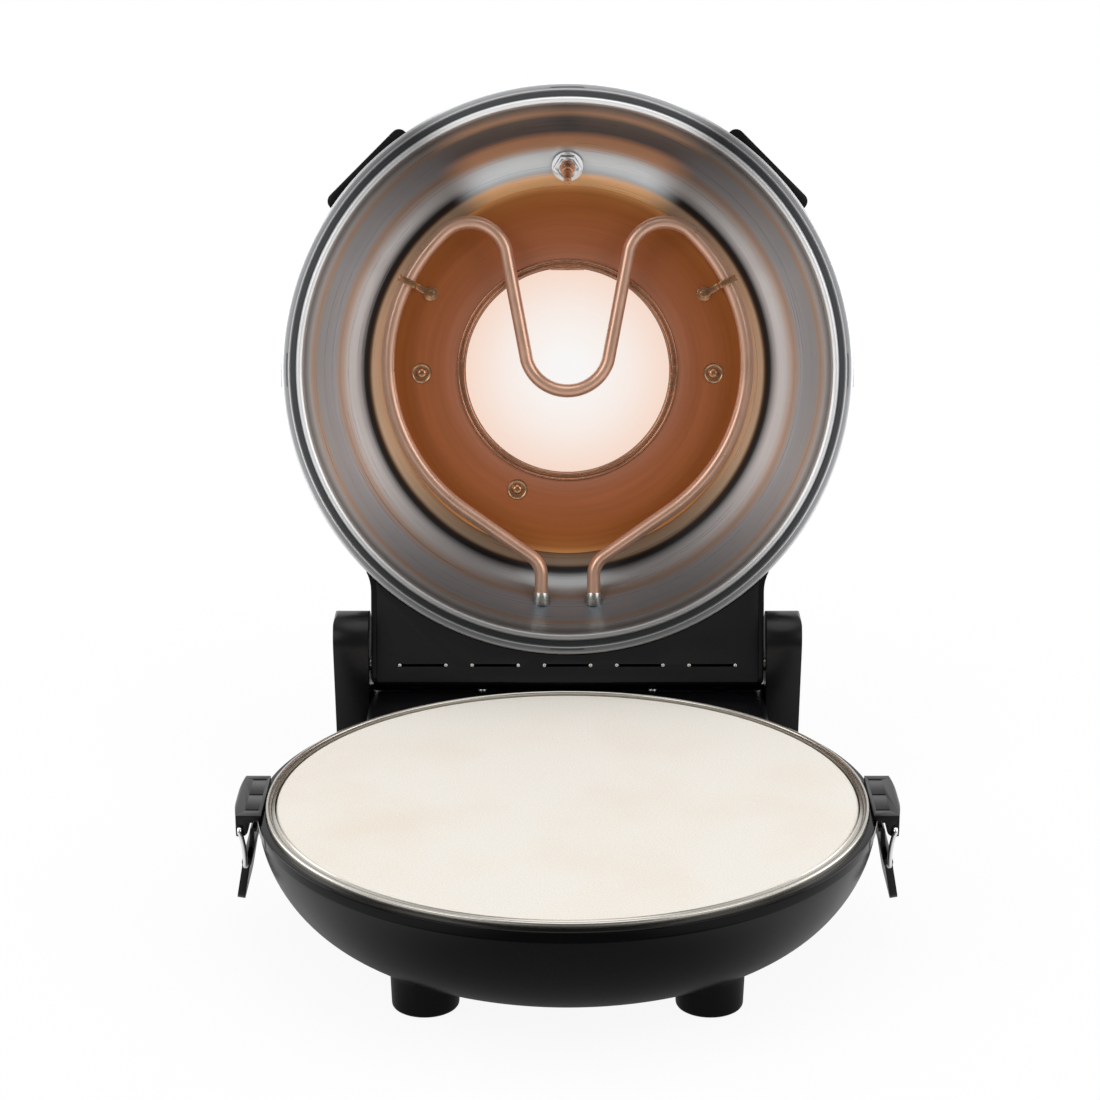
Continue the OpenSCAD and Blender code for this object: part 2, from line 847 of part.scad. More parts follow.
module terminal_block() {
    color(white) placed()
        translate([20, back_y - 3 - 12, base_h - 34])
        difference() {
            cube([44, 12, 14]);
            for (i = [0:3])
                translate([6 + i * 10.6, -cut, 7])
                rotate([-90, 0, 0])
                cylinder(d = 4.4, h = 8, $fn = 20);
        }
}

module pizza_stone() {
    bottom = ledge_z + stone_seat;
    color(cream) placed()
        rotate_extrude($fn = 96)
        polygon(concat(
            [[0, bottom], [stone_r - 1, bottom], [stone_r, bottom + 1]],
            arc_pts([stone_r - 1.6, stone_top - 1.6], 1.6, 0, 90, 4),
            [[0, stone_top]]
        ));
}

// ---------- lid ----------

function arm_plan(inset) =
    let (
        half = arm_half - inset,
        bend = flare_r + inset,
        dome = lid_r - 0.8 - inset,
        cx = half + bend,
        cy = sqrt(pow(dome + bend, 2) - cx * cx),
        meet = atan2(cy, cx),
        corner = max(5 - inset, 1),
        right = concat(
            arc_pts([cx, cy], bend, 180 + meet, 180, 6),
            arc_pts([half - corner, rear - inset - corner], corner, 0, 90, 4)
        )
    )
    concat(
        [[60, arm_front]], right,
        [for (i = [len(right) - 1:-1:0]) [-right[i][0], right[i][1]]],
        [[-60, arm_front]]
    );

// Side view of the arm, y and z
function arm_side(inset, low) =
    let (
        back = rear - inset,
        rise = hinge_up + arm_rise - inset / cos(arm_slope),
        top_back = rise - (back - hinge_y) * tan(arm_slope),
        low_r = max(7 - inset, 1),
        top_r = max(8 - inset, 1),
        top_c = top_back + top_r * tan(arm_slope) - top_r / cos(arm_slope)
    )
    concat(
        [[arm_front, low]],
        arc_pts([back - low_r, low + low_r], low_r, -90, 0, 6),
        arc_pts([back - top_r, top_c], top_r, 0, 90 - arm_slope, 5),
        [[arm_front, rise + (hinge_y - arm_front) * tan(arm_slope)]]
    );

module arm_block(inset, low) {
    intersection() {
        linear_extrude(2 * shell_h) polygon(arm_plan(inset));
        translate([-arm_half - 40, 0, 0])
            rotate([90, 0, 90])
            linear_extrude(2 * arm_half + 80)
            polygon(arm_side(inset, low));
    }
}

// Room for the controls inside the arm, behind the liner
module arm_cavity(low) {
    half = arm_half - lid_wall;
    back = rear - lid_wall;
    intersection() {
        linear_extrude(2 * shell_h)
            difference() {
                polygon([
                    [-half, arm_front + 46], [-half + 40, arm_front + 22],
                    [half - 40, arm_front + 22], [half, arm_front + 46],
                    [half, back], [-half, back]
                ]);
                circle(r = wall_r - 24, $fn = 60);
            }
        translate([-arm_half - 40, 0, 0])
            rotate([90, 0, 90])
            linear_extrude(2 * arm_half + 80)
            polygon(arm_side(lid_wall, low));
    }
}

module dome_outside(facets = 96) {
    rotate_extrude($fn = facets)
        polygon(concat(
            [[0, lip_h]],
            dome_pts(shell_top_r, lid_r - 0.8 - shell_top_r, lip_h, shell_h - lip_h),
            [[0, shell_h]]
        ));
}

module dome_inside() {
    wall = lid_wall;
    top = shell_top_r - 2;
    rotate_extrude($fn = 96)
        polygon(concat(
            [[0, lip_h - cut], [lid_r - 0.8 - wall, lip_h - cut]],
            dome_pts(top, lid_r - 0.8 - wall - top, lip_h, shell_h - wall - lip_h),
            [[0, shell_h - wall]]
        ));
}

module lid_shell() {
    rim_keep = lip_h + 6;
    color(black) on_lid()
        difference() {
            union() {
                difference() {
                    union() {
                        dome_outside();
                        difference() {
                            arm_block(0, under);
                            translate([0, 0, -cut])
                                cylinder(r = lip_clear, h = lip_h + cut, $fn = 96);
                        }
                    }
                    dome_inside();
                    // the arm is open below, behind the dome's rim, where its cover goes
                    difference() {
                        translate([0, 0, -cut])
                            linear_extrude(rim_keep + cut + 0.01)
                            polygon(arm_plan(lid_wall));
                        translate([0, 0, -2 * cut])
                            cylinder(r = lid_r - 0.8, h = shell_h, $fn = 96);
                    }
                    arm_cavity(rim_keep);
                }
                // bosses that hold the hinge bushes
                both_sides()
                    translate([arm_half - 10, hinge_y, hinge_up])
                    rotate([0, 90, 0])
                    cylinder(d = boss_d, h = 9, $fn = 40);
            }
            both_sides()
                translate([arm_half - 11, hinge_y, hinge_up])
                rotate([0, 90, 0])
                cylinder(d = pin_d + 6 + 2 * run_fit, h = 20, $fn = 40);
            translate([0, 0, shell_h - 10])
                cylinder(r = window_r + 2, h = 20, $fn = 96);
            for (x = [-knob_x, knob_x])
                on_arm_top(x)
                cylinder(d = shaft_d + 4, h = 20, center = true, $fn = 32);
            for (x = [-lamp_x, lamp_x])
                on_arm_top(x)
                cylinder(d = lamp_d + 2 * run_fit, h = 20, center = true, $fn = 32);
        }
}

module lid_liner() {
    t = liner_t;
    lip_in = lid_r - lip_w;
    seat = 2.6;
    slot_l = 19.5;
    inside = dome_pts(ceiling_r, wall_r - ceiling_r, bead_r + 2, ceiling_h - bead_r - 2, 12);
    outside = dome_pts(ceiling_r, wall_r + t - ceiling_r, bead_r + 2, ceiling_h + t - bead_r - 2, 12);
    color(bright) on_lid()
        difference() {
            rotate_extrude($fn = 96)
                polygon(concat(
                    // rolled lip
                    arc_pts([lid_r - 1.6, 1.6], 1.6, 0, -90, 4),
                    arc_pts([lip_in + 1.4, 1.4], 1.4, -90, -180, 4),
                    // groove and bead
                    [[lip_in, seat], [bead_mid + bead_r, seat]],
                    arc_pts([bead_mid, bead_r], bead_r, 0, -180, 8),
                    inside,
                    [[window_r + 1, ceiling_h], [window_r + 1, ceiling_h + t]],
                    [for (i = [len(outside) - 1:-1:0]) outside[i]],
                    [[wall_r + t, seat + t], [lip_in + 0.2, seat + t], [lip_in + 0.2, lip_h], [lid_r, lip_h]]
                ));
            // holes for the heater's two ends
            for (x = [-1, 1])
                translate([x * heater_leg_gap / 2, (wall_r + ceiling_r) / 2, heater_z])
                rotate([90, 0, 0])
                cylinder(d = tube_d + 3, h = 40, center = true, $fn = 32);
            // four short slots in the lip's lower face
            for (a = [0:90:270])
                rotate(a)
                translate([-slot_l / 2, lid_r - 3.4, -cut])
                cube([slot_l, 0.9, 1.2 + cut]);
            // hole for the temperature probe
            translate([0, -probe_place()[0], probe_place()[1]])
                rotate([90 - probe_tilt(), 0, 0])
                cylinder(d = 9 + 2 * run_fit, h = 20, center = true, $fn = 32);
        }
}

module ceiling_plate() {
    color(bronze) on_lid()
        translate([0, 0, ceiling_h - plate_t])
        difference() {
            cylinder(r = ceiling_r - 0.5, h = plate_t, $fn = 96);
            translate([0, 0, -cut]) cylinder(r = window_r + 1, h = plate_t + 2 * cut, $fn = 96);
            for (p = rivet_places())
                translate([p[0], p[1], -cut])
                cylinder(d = 3.4, h = plate_t + 2 * cut, $fn = 20);
        }
}

// Rivets of the ceiling plate, then the two of the heater clips
function rivet_places() = [[-88.3, 2], [88.3, 2], [-30.5, 72.3], clip_place(-1), clip_place(1)];
function clip_place(side) = [side * 82.5, -46];

module ceiling_rivets() {
    z = ceiling_h - plate_t;
    color(steel) on_lid()
        for (i = [0:2])
        let (p = rivet_places()[i])
        translate([p[0], p[1], 0]) {
            translate([0, 0, z - 0.8]) cylinder(r = 5.6, h = 0.8, $fn = 32);
            translate([0, 0, z - 2.2]) cylinder(r = 2.4, h = 1.4, $fn = 24);
            translate([0, 0, z - 1]) cylinder(d = 3, h = 1 + plate_t, $fn = 20);
        }
}

// Pressed ring with a round bead along each edge, and a small tab that reaches into the window
module window_frame() {
    z = ceiling_h - plate_t;
    outer = window_r + frame_w;
    tab_w = 20;
    tab_in = 1.8;
    color(steel) on_lid() {
        rotate_extrude($fn = 96)
            polygon(concat(
                [[window_r, z]],
                arc_pts([window_r + 1, z - 0.8], 1, 180, 360, 8),
                [[window_r + 2, z - 0.5], [outer - 1.8, z - 0.5]],
                arc_pts([outer - 0.9, z - 0.6], 0.9, 180, 360, 8),
                [[outer, z]]
            ));
        translate([-tab_w / 2, -window_r - 1, z - 0.8])
            cube([tab_w, 1 + tab_in, 0.8]);
    }
}

module window_glass() {
    color(clear) on_lid()
        translate([0, 0, glass_z])
        cylinder(r = window_r + 8, h = glass_t, $fn = 96);
}

module window_bezel() {
    color(dark) on_lid()
        rotate_extrude($fn = 96)
        polygon([
            [window_r, glass_z + glass_t],
            [window_r + 1.8, glass_z + glass_t],
            [window_r + 1.8, shell_h],
            [window_r + bezel_w, shell_h],
            [window_r + bezel_w - 0.6, shell_h + 1.6],
            [window_r + bezel_w - 3, shell_h + 3],
            [window_r + 3, shell_h + 3],
            [window_r, shell_h + 0.6]
        ]);
}

module arm_cover() {
    color(dark) on_lid()
        difference() {
            translate([0, 0, under])
                linear_extrude(arm_cover_t)
                polygon(arm_plan(lid_wall + fit));
            translate([0, 0, -cut]) cylinder(r = lip_clear + fit, h = shell_h, $fn = 96);
            both_sides()
                translate([arm_half - 11, hinge_y, hinge_up])
                rotate([0, 90, 0])
                cylinder(d = boss_d + 2 * fit, h = 20, $fn = 40);
            for (i = [-2:2])
                translate([i * vent_pitch, hinge_y, under - cut]) {
                    translate([-vent_l / 2, -vent_w / 2, 0])
                        cube([vent_l, vent_w, arm_cover_t + 2 * cut]);
                    for (x = [-vent_l / 2, vent_l / 2])
                        translate([x, 0, 0])
                        cylinder(r = vent_w * 0.8, h = arm_cover_t + 2 * cut, $fn = 20);
                }
        }
}

// ---------- upper heater ----------

// Radius of the liner's flank at a height above the lip's lower face
function flank_at(z) =
    let (s = (z - bead_r - 2) / (ceiling_h - bead_r - 2))
    ceiling_r + (wall_r - ceiling_r) * sqrt(1 - s * s);

// One half of the upper heater seen from below, y pointing forward: the leg, the small bend,
// the large bend, the shoulder and the quarter of the middle loop
function heater_half() =
    let (
        leg = heater_leg_gap / 2,
        turn_r = 14,
        lean = 16.5,
        leave = 235,
        big = [0, upper_heater_shift],
        start = big + upper_heater_r * [cos(leave), sin(leave)],
        dir = [-sin(leave), cos(leave)],
        side = [dir[1], -dir[0]],
        run = (-leg - turn_r - (start[0] + side[0] * turn_r)) / dir[0],
        bend_c = start + run * dir + side * turn_r,
        small = arc_pts(bend_c, turn_r, leave - 180, 0, 6),
        shoulder_a = 133.5,
        shoulder_c = big + (upper_heater_r - shoulder_r) * [cos(shoulder_a), sin(shoulder_a)]
    )
    concat(
        [[-leg, -flank_at(heater_z) - 2.6], [-leg, -flank_at(heater_z) + 8.4]],
        [for (i = [len(small) - 1:-1:0]) small[i]],
        arc_pts(big, upper_heater_r, leave, shoulder_a, 12),
        arc_pts(shoulder_c, shoulder_r, shoulder_a - 12, lean, 10),
        arc_pts([0, loop_shift], loop_r, 180 + lean, 270, 6)
    );

function upper_heater_path() =
    let (h = heater_half())
    concat(
        [for (p = h) [p[0], -p[1], heater_z]],
        [for (i = [len(h) - 2:-1:0]) [-h[i][0], -h[i][1], heater_z]]
    );

module upper_heater() {
    color(steel) on_lid()
        bent_bar(upper_heater_path(), tube_d / 2, 12, [0, 0, 1]);
}

module heater_bushes() {
    y0 = flank_at(heater_z) - 6.4;
    color(white) on_lid()
        for (x = [-1, 1])
        translate([x * heater_leg_gap / 2, y0, heater_z])
        rotate([-90, 0, 0])
        difference() {
            cylinder(d = tube_d + 2.6, h = 8, $fn = 32);
            translate([0, 0, -cut]) cylinder(d = tube_d + 0.4, h = 8 + 2 * cut, $fn = 32);
        }
}

// A strap from a rivet in the ceiling outwards, down, under the tube and up again. It lies along
// the large bend's radius, so that the tube crosses it squarely.
module heater_clip(side) {
    place = clip_place(side) + [0, upper_heater_shift];
    rivet_at = norm(place);
    top = ceiling_h - plate_t;
    strap_w = 4;
    strap_t = 1;
    hole = tube_d / 2 + 0.5;
    near = upper_heater_r - hole;
    far = upper_heater_r + hole;
    low = heater_z - hole;
    translate([0, -upper_heater_shift, 0])
        rotate(atan2(place[1], place[0])) {
            translate([rivet_at, 0, top - strap_t - 1.7]) cylinder(r = 2.2, h = 1.8, $fn = 24);
            translate([rivet_at, 0, top - strap_t]) cylinder(r = 4.4, h = strap_t, $fn = 24);
            translate([0, strap_w / 2, 0])
                rotate([90, 0, 0])
                linear_extrude(strap_w)
                polygon([
                    [rivet_at, top], [rivet_at, top - strap_t], [near - strap_t, top - strap_t],
                    [near - strap_t, low - strap_t], [far + strap_t, low - strap_t],
                    [far + strap_t, heater_z + 1], [far, heater_z + 1], [far, low], [near, low],
                    [near, top]
                ]);
        }
}

module heater_clips() {
    color(steel) on_lid() {
        heater_clip(1);
        heater_clip(-1);
    }
}

// ---------- probe ----------

// Angle along the liner's flank at which the probe stands, and its place and tilt there
probe_turn = 74;
function probe_place() = [
    ceiling_r + (wall_r - ceiling_r) * cos(probe_turn),
    bead_r + 2 + (ceiling_h - bead_r - 2) * sin(probe_turn)
];
// Tilt of the flank's normal above the horizontal
function probe_tilt() = atan2(
    (wall_r - ceiling_r) * sin(probe_turn),
    (ceiling_h - bead_r - 2) * cos(probe_turn)
);

// Frame on the liner's flank with +Z pointing into the oven
module on_probe() {
    translate([0, -probe_place()[0], probe_place()[1]])
        rotate([-90 - probe_tilt(), 0, 0])
        children();
}

module temperature_probe() {
    color(steel) on_lid()
        on_probe() {
            translate([0, 0, -3.5]) cylinder(d = 9, h = 10.2, $fn = 32);
            translate([0, 0, 5]) cylinder(d = 7.4, h = 7, $fn = 32);
            translate([0, 0, 11]) cylinder(d = 4.6, h = 15, $fn = 24);
        }
}

// The washer stands on the hollow of the flank, which its rim touches first
module probe_nut() {
    seat = 1.7;
    washer_t = 1.2;
    color(bright) on_lid()
        on_probe()
        difference() {
            union() {
                translate([0, 0, seat]) cylinder(r = 9.4, h = washer_t, $fn = 40);
                translate([0, 0, seat + washer_t]) cylinder(r = 8.4, h = 3.4, $fn = 6);
            }
            cylinder(d = 9 + 2 * run_fit, h = 20, center = true, $fn = 32);
        }
}

// ---------- handle and catches ----------

module front_handle() {
    foot_low = 9;
    spread = foot_angle + 8;
    bar_in = bar_r - bar_t;
    color(black) on_lid()
        difference() {
            union() {
                rotate(-90 - spread)
                    rotate_extrude(angle = 2 * spread, $fn = 96)
                    polygon(rounded_pts([bar_in, bar_top - bar_h], [bar_r, bar_top], 5));
                for (a = [-foot_angle, foot_angle])
                    rotate(-90 + a)
                    intersection() {
                        translate([0, 0, foot_low])
                            linear_extrude(bar_top - foot_low)
                            polygon(rounded_pts([120, -foot_w / 2], [foot_face, foot_w / 2], 5));
                        translate([0, foot_w / 2 + cut, 0])
                            rotate([90, 0, 0])
                            linear_extrude(foot_w + 2 * cut)
                            polygon([
                                [120, foot_low], [foot_face, foot_low], [foot_face, bar_top - 6],
                                [foot_face - 4, bar_top], [bar_in + 3, bar_top], [bar_in, bar_top - 4],
                                [bar_in, bar_top - bar_h - 6], [130, 58], [120, 58]
                            ]);
                    }
            }
            dome_outside();
        }
}

module catch() {
    x1 = lid_r + 2;
    difference() {
        translate([0, 10, 0])
            rotate([90, 0, 0])
            linear_extrude(20)
            polygon([
                [catch_in, catch_z - 4], [x1 - 3, catch_z - 4], [x1, catch_z], [x1, catch_z + 6],
                [x1 - 1.8, catch_z + 6], [x1 - 1.8, catch_z + 3], [catch_in, catch_z + 3]
            ]);
        dome_outside(288);
    }
}

module catch_right() {
    color(steel) on_lid() catch();
}

module catch_left() {
    color(steel) on_lid() mirror([1, 0, 0]) catch();
}

module hinge_bush() {
    translate([arm_half - 10.6, hinge_y, hinge_up])
        rotate([0, 90, 0])
        difference() {
            cylinder(d = pin_d + 6, h = 10.6, $fn = 40);
            translate([0, 0, -cut]) cylinder(d = pin_d + 2 * run_fit, h = 10.6 + 2 * cut, $fn = 40);
        }
}

module hinge_bush_right() {
    color(bronze) on_lid() hinge_bush();
}

module hinge_bush_left() {
    color(bronze) on_lid() mirror([1, 0, 0]) hinge_bush();
}

// ---------- controls ----------

// Depth of a control's body below the arm's top face
body_h = 15;

module control_body(w) {
    difference() {
        translate([-w / 2, -10, -lid_wall - body_h])
            cube([w, 20, body_h]);
        translate([0, 0, -lid_wall - 12])
            cylinder(d = shaft_d + 2 * run_fit, h = 20, $fn = 32);
    }
}

module thermostat_body() {
    color(white) on_lid() on_arm_top(-knob_x) control_body(36);
}

module timer_body() {
    color(dark) on_lid() on_arm_top(knob_x) control_body(40);
}

module knob() {
    r = knob_d / 2;
    difference() {
        union() {
            translate([0, 0, 1]) cylinder(r = r, h = 2.4, $fn = 64);
            translate([0, 0, 3.2])
                linear_extrude(knob_h - 3.2)
                polygon([for (i = [0:knob_ribs * 4 - 1])
                    let (a = 360 * i / (knob_ribs * 4), q = r - 2 - (i % 4 < 2 ? 0 : 0.9))
                    [q * cos(a), q * sin(a)]]);
            translate([0, 0, -lid_wall - 11.5]) cylinder(d = shaft_d, h = 17, $fn = 32);
        }
        // the pointer line
        translate([-0.8, -r, knob_h - 0.8]) cube([1.6, r - 4, 2]);
    }
}

module thermostat_knob() {
    color(dark) on_lid() on_arm_top(-knob_x) knob();
}

module timer_knob() {
    color(dark) on_lid() on_arm_top(knob_x) knob();
}

module lamp() {
    translate([0, 0, -8]) cylinder(d = lamp_d, h = 8, $fn = 32);
    rotate_extrude($fn = 32)
        polygon(concat(
            [[0, 0], [lamp_d / 2 + 1.5, 0]],
            arc_pts([lamp_d / 2, 0], 1.5, 0, 90, 4),
            [[0, 1.5]]
        ));
}

module lamp_power() {
    color("red") on_lid() on_arm_top(-lamp_x) lamp();
}

module lamp_heat() {
    color("green") on_lid() on_arm_top(lamp_x) lamp();
}

module foot_front_left() { foot(foot_places[0]); }
module foot_rear_left() { foot(foot_places[1]); }
module foot_front_right() { foot(foot_places[2]); }
module foot_rear_right() { foot(foot_places[3]); }

base_shell();
rim_ring();
base_pan();
lower_heater();
heater_supports();
base_cover();
cover_screws();
foot_front_left();
foot_front_right();
foot_rear_left();
foot_rear_right();
foot_pads();
foot_screws();
grip_left();
grip_right();
rear_housing();
tower_left();
tower_right();
hinge_pin_left();
hinge_pin_right();
housing_screws();
cord_gland();
stop_pads();
terminal_block();
pizza_stone();
lid_shell();
lid_liner();
ceiling_plate();
ceiling_rivets();
window_glass();
window_frame();
window_bezel();
arm_cover();
upper_heater();
heater_bushes();
heater_clips();
temperature_probe();
probe_nut();
front_handle();
catch_left();
catch_right();
hinge_bush_left();
hinge_bush_right();
thermostat_body();
timer_body();
lamp_power();
lamp_heat();
thermostat_knob();
timer_knob();
wire_left();
wire_right();
lever_left();
lever_right();
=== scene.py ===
"""Electric pizza maker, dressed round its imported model: spun, moulded and bent pieces on one
fixed frame. The frame, the panel's sizes and what nodes take are in metres, and the profiles,
paths and places of pieces are drawn in millimetres; +Z is up and the front looks along -Y."""

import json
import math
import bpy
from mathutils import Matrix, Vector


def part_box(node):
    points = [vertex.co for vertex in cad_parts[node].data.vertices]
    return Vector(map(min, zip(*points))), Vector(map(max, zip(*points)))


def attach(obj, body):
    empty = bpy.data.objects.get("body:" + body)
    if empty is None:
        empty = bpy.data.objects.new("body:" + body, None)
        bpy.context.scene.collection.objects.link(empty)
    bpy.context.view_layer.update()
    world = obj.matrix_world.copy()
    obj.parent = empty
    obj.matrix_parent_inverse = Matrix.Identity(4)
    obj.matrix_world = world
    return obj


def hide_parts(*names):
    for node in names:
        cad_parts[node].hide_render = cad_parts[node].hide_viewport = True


bl_info = {
    "name": "Electric Pizza Maker",
    "version": (1, 0, 0),
    "blender": (4, 5, 0),
    "location": "3D View > Sidebar > Pizza Maker",
    "description": "Builds the visible pieces, finishes and stage of an electric pizza maker",
    "category": "Add Mesh",
}

import bmesh
import bpy
from bpy.props import FloatProperty, FloatVectorProperty, IntProperty, PointerProperty
from mathutils import Matrix, Vector

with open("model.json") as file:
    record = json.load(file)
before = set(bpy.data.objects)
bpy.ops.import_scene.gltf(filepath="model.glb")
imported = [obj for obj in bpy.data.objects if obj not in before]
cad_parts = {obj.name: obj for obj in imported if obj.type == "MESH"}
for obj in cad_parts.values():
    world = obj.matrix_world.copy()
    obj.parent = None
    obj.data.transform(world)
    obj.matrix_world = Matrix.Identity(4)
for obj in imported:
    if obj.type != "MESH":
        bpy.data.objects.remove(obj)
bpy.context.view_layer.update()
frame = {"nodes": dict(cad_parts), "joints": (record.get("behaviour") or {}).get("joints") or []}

MM = 0.001
RIGHT, LEFT = 1, -1
IDENTITY = Matrix.Identity(4)
# edges sharper than this many degrees stay sharp in smooth shading
SHARP = 35
# light of the studio: on dull surfaces, and what metal shows of the part in front of the object
AMBIENT, FRONT_GREY = 0.55, 0.2
# the camera's place from the bowl's axis in metres, its pitch in degrees, lens in mm and shift
CAMERA_FROM, CAMERA_PITCH, LENS_MM, SHIFT_X = (0, -1.4779, 0.6951), 72.17, 97.7, -0.0159
# place, width and power of each soft lamp, in metres and watts
LAMPS = {
    "Left lamp": ((-1.5, -1.3, 1.5), 1.4, 12),
    "Right lamp": ((1.6, -1.1, 1.3), 1.4, 10.5),
    "Top lamp": ((0.1, -0.3, 2.2), 1.6, 10),
    "Left edge lamp": ((-1.3, 0.35, 0.5), 0.9, 5),
    "Right edge lamp": ((1.3, 0.35, 0.5), 0.9, 5),
}
# settings of a Mix node for colours, and of one that multiplies them
MIXED = {"data_type": "RGBA"}
MULTIPLIED = {"data_type": "RGBA", "blend_type": "MULTIPLY"}


# ---------- places, taken from the frame ----------


def joint(name):
    return next(j for j in frame["joints"] if j["name"] == name)


def joint_place(name):
    return Vector(joint(name)["pos_m"])


stone_low, stone_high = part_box("pizza_stone")
ring_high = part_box("rim_ring")[1]
bowl_axis = Vector((0, (stone_low.y + stone_high.y) / 2, 0))
hinge = joint_place("lid_hinge")
# clear height between the rim ring and the closed lid's lip
LID_GAP = 0.6 * MM
LID_OPEN = math.radians(-joint("lid_hinge")["range_deg"][0])
lid_turn = Matrix.Rotation(-LID_OPEN, 4, "X")
# base pieces are drawn round the bowl's axis; lid pieces round the dome's axis, lip at z = 0
ON_BASE = Matrix.Translation(bowl_axis)
ON_LID = (
    Matrix.Translation(hinge)
    @ lid_turn
    @ Matrix.Translation((0, bowl_axis.y - hinge.y, ring_high.z + LID_GAP - hinge.z))
)
hinge_behind_mm = (hinge.y - bowl_axis.y) / MM
lid_centre = ON_LID @ Vector((0, 0, 0))
lid_axis = lid_turn.to_3x3() @ Vector((0, 0, 1))
# centre, turn about X and direction of the two axes that pieces were spun round
LID_AXIS = (lid_centre, -LID_OPEN, lid_axis)
BOWL_AXIS = (bowl_axis, 0.0, Vector((0, 0, 1)))


# ---------- sizes and colours that a user would change ----------


def length(name, description, default_mm):
    return FloatProperty(
        name=name, description=description, default=default_mm * MM, min=0.0, unit="LENGTH"
    )


def colour(name, description, hex_code):
    return FloatVectorProperty(
        name=name, description=description, default=srgb(hex_code), size=4, subtype="COLOR"
    )


def srgb(hex_code):
    """Turns an sRGB hex colour to the linear values that shaders take."""
    channels = [int(hex_code[i : i + 2], 16) / 255 for i in (1, 3, 5)]
    return (*[c / 12.92 if c <= 0.04045 else ((c + 0.055) / 1.055) ** 2.4 for c in channels], 1.0)


class PIZZAMAKER_PG_base(bpy.types.PropertyGroup):
    """Sizes of the base."""

    stone_r: length("Stone radius", "Radius of the baking stone", 155)
    stone_t: length("Stone thickness", "Thickness of the baking stone", 12)
    ring_in: length("Ring inside", "Inner radius of the steel rim ring", 155.7)
    ring_out: length("Ring outside", "Outer radius of the steel rim ring", 160.8)
    rim_r: length("Rim radius", "Outer radius of the black rim", 165)
    rim_band: length("Rim band", "Height of the black rim band", 6)
    bowl_bottom_r: length("Bottom radius", "Radius of the bowl's flat bottom", 90)
    bowl_clear: length("Bottom height", "Height of the bowl's bottom above the table", 14)
    wire_d: length("Wire diameter", "Diameter of the latch wire", 2.6)
    steps: IntProperty(name="Steps", description="Steps round a turned piece", default=192, min=24)


class PIZZAMAKER_PG_lid(bpy.types.PropertyGroup):
    """Sizes of the lid."""

    lip_r: length("Lip radius", "Outer radius of the rolled lip", 166)
    lip_w: length("Lip width", "Width of the rolled lip", 4.6)
    groove_w: length("Groove width", "Width of the groove inside the lip", 3.4)
    bead_r: length("Bead radius", "Radius of the round bead inside the groove", 1.9)
    ceiling_r: length("Ceiling radius", "Radius of the flat ceiling", 111.5)
    ceiling_h: length("Ceiling height", "Height of the ceiling above the lip", 74)
    window_r: length("Window radius", "Radius of the window's clear opening", 62)
    tube_d: length("Heater tube", "Diameter of the heater tube", 8)
    heater_r: length("Heater bend", "Radius of the heater's large bend", 107.5)
    loop_r: length("Heater loop", "Radius of the heater's middle loop", 25.5)
    leg_gap: length("Heater legs", "Distance between the heater's two legs", 31.5)


class PIZZAMAKER_PG_colours(bpy.types.PropertyGroup):
    """Colours of the finishes."""

    plastic: colour("Plastic", "Moulded shells, grips and handle", "#08080a")
    dark_plastic: colour("Dark plastic", "Knobs, arm cover and bezel", "#0d0d0f")
    ring_steel: colour("Ring steel", "Pressed rim ring and pan", "#c2beb6")
    stone: colour("Stone", "Baking stone", "#f0ebe2")
    floor: colour("Floor", "Floor under the object", "#f4f4f4")


# ---------- meshes ----------


def arc(cx, cy, r, a0, a1, n):
    """Points on an arc, with angles in degrees."""
    turn = [math.radians(a0 + (a1 - a0) * i / n) for i in range(n + 1)]
    return [(cx + r * math.cos(a), cy + r * math.sin(a)) for a in turn]


def quarter_dome(r0, rr, z0, rz, n=48):
    """A quarter ellipse from the wall up to the crown."""
    turn = [math.radians(90 * i / n) for i in range(n + 1)]
    return [(r0 + rr * math.cos(a), z0 + rz * math.sin(a)) for a in turn]


def linked(name, mesh):
    """A new object, at the origin, with this mesh."""
    piece = bpy.data.objects.new(name, mesh)
    bpy.context.scene.collection.objects.link(piece)
    return piece


def drawn(name, points, edges, faces, place):
    """A mesh from its points in metres, carried to its place."""
    mesh = bpy.data.meshes.new(name)
    mesh.from_pydata([Vector(p) for p in points], edges, faces)
    mesh.transform(place)
    return mesh


def mesh_piece(name, points, faces, place=IDENTITY, sharp=SHARP):
    """An object at the origin whose mesh holds its place."""
    mesh = drawn(name, points, [], faces, place)
    work = bmesh.new()
    work.from_mesh(mesh)
    bmesh.ops.remove_doubles(work, verts=work.verts, dist=1e-7)
    bmesh.ops.recalc_face_normals(work, faces=work.faces)
    work.to_mesh(mesh)
    work.free()
    soften(mesh, sharp)
    return linked(name, mesh)


def path_piece(name, points_mm, place):
    """An open chain of edges for a tube to follow."""
    steps = [(i, i + 1) for i in range(len(points_mm) - 1)]
    return linked(name, drawn(name, [Vector(p) * MM for p in points_mm], steps, [], place))


def points_piece(name, points_mm, place=IDENTITY):
    """Loose points for copies to stand on."""
    return linked(name, drawn(name, [Vector(p) * MM for p in points_mm], [], [], place))


def soften(mesh, sharp):
    """Smooth shading that breaks at edges sharper than the angle in degrees."""
    mesh.shade_smooth()
    if mesh.polygons:
        mesh.set_sharp_from_angle(angle=math.radians(sharp))


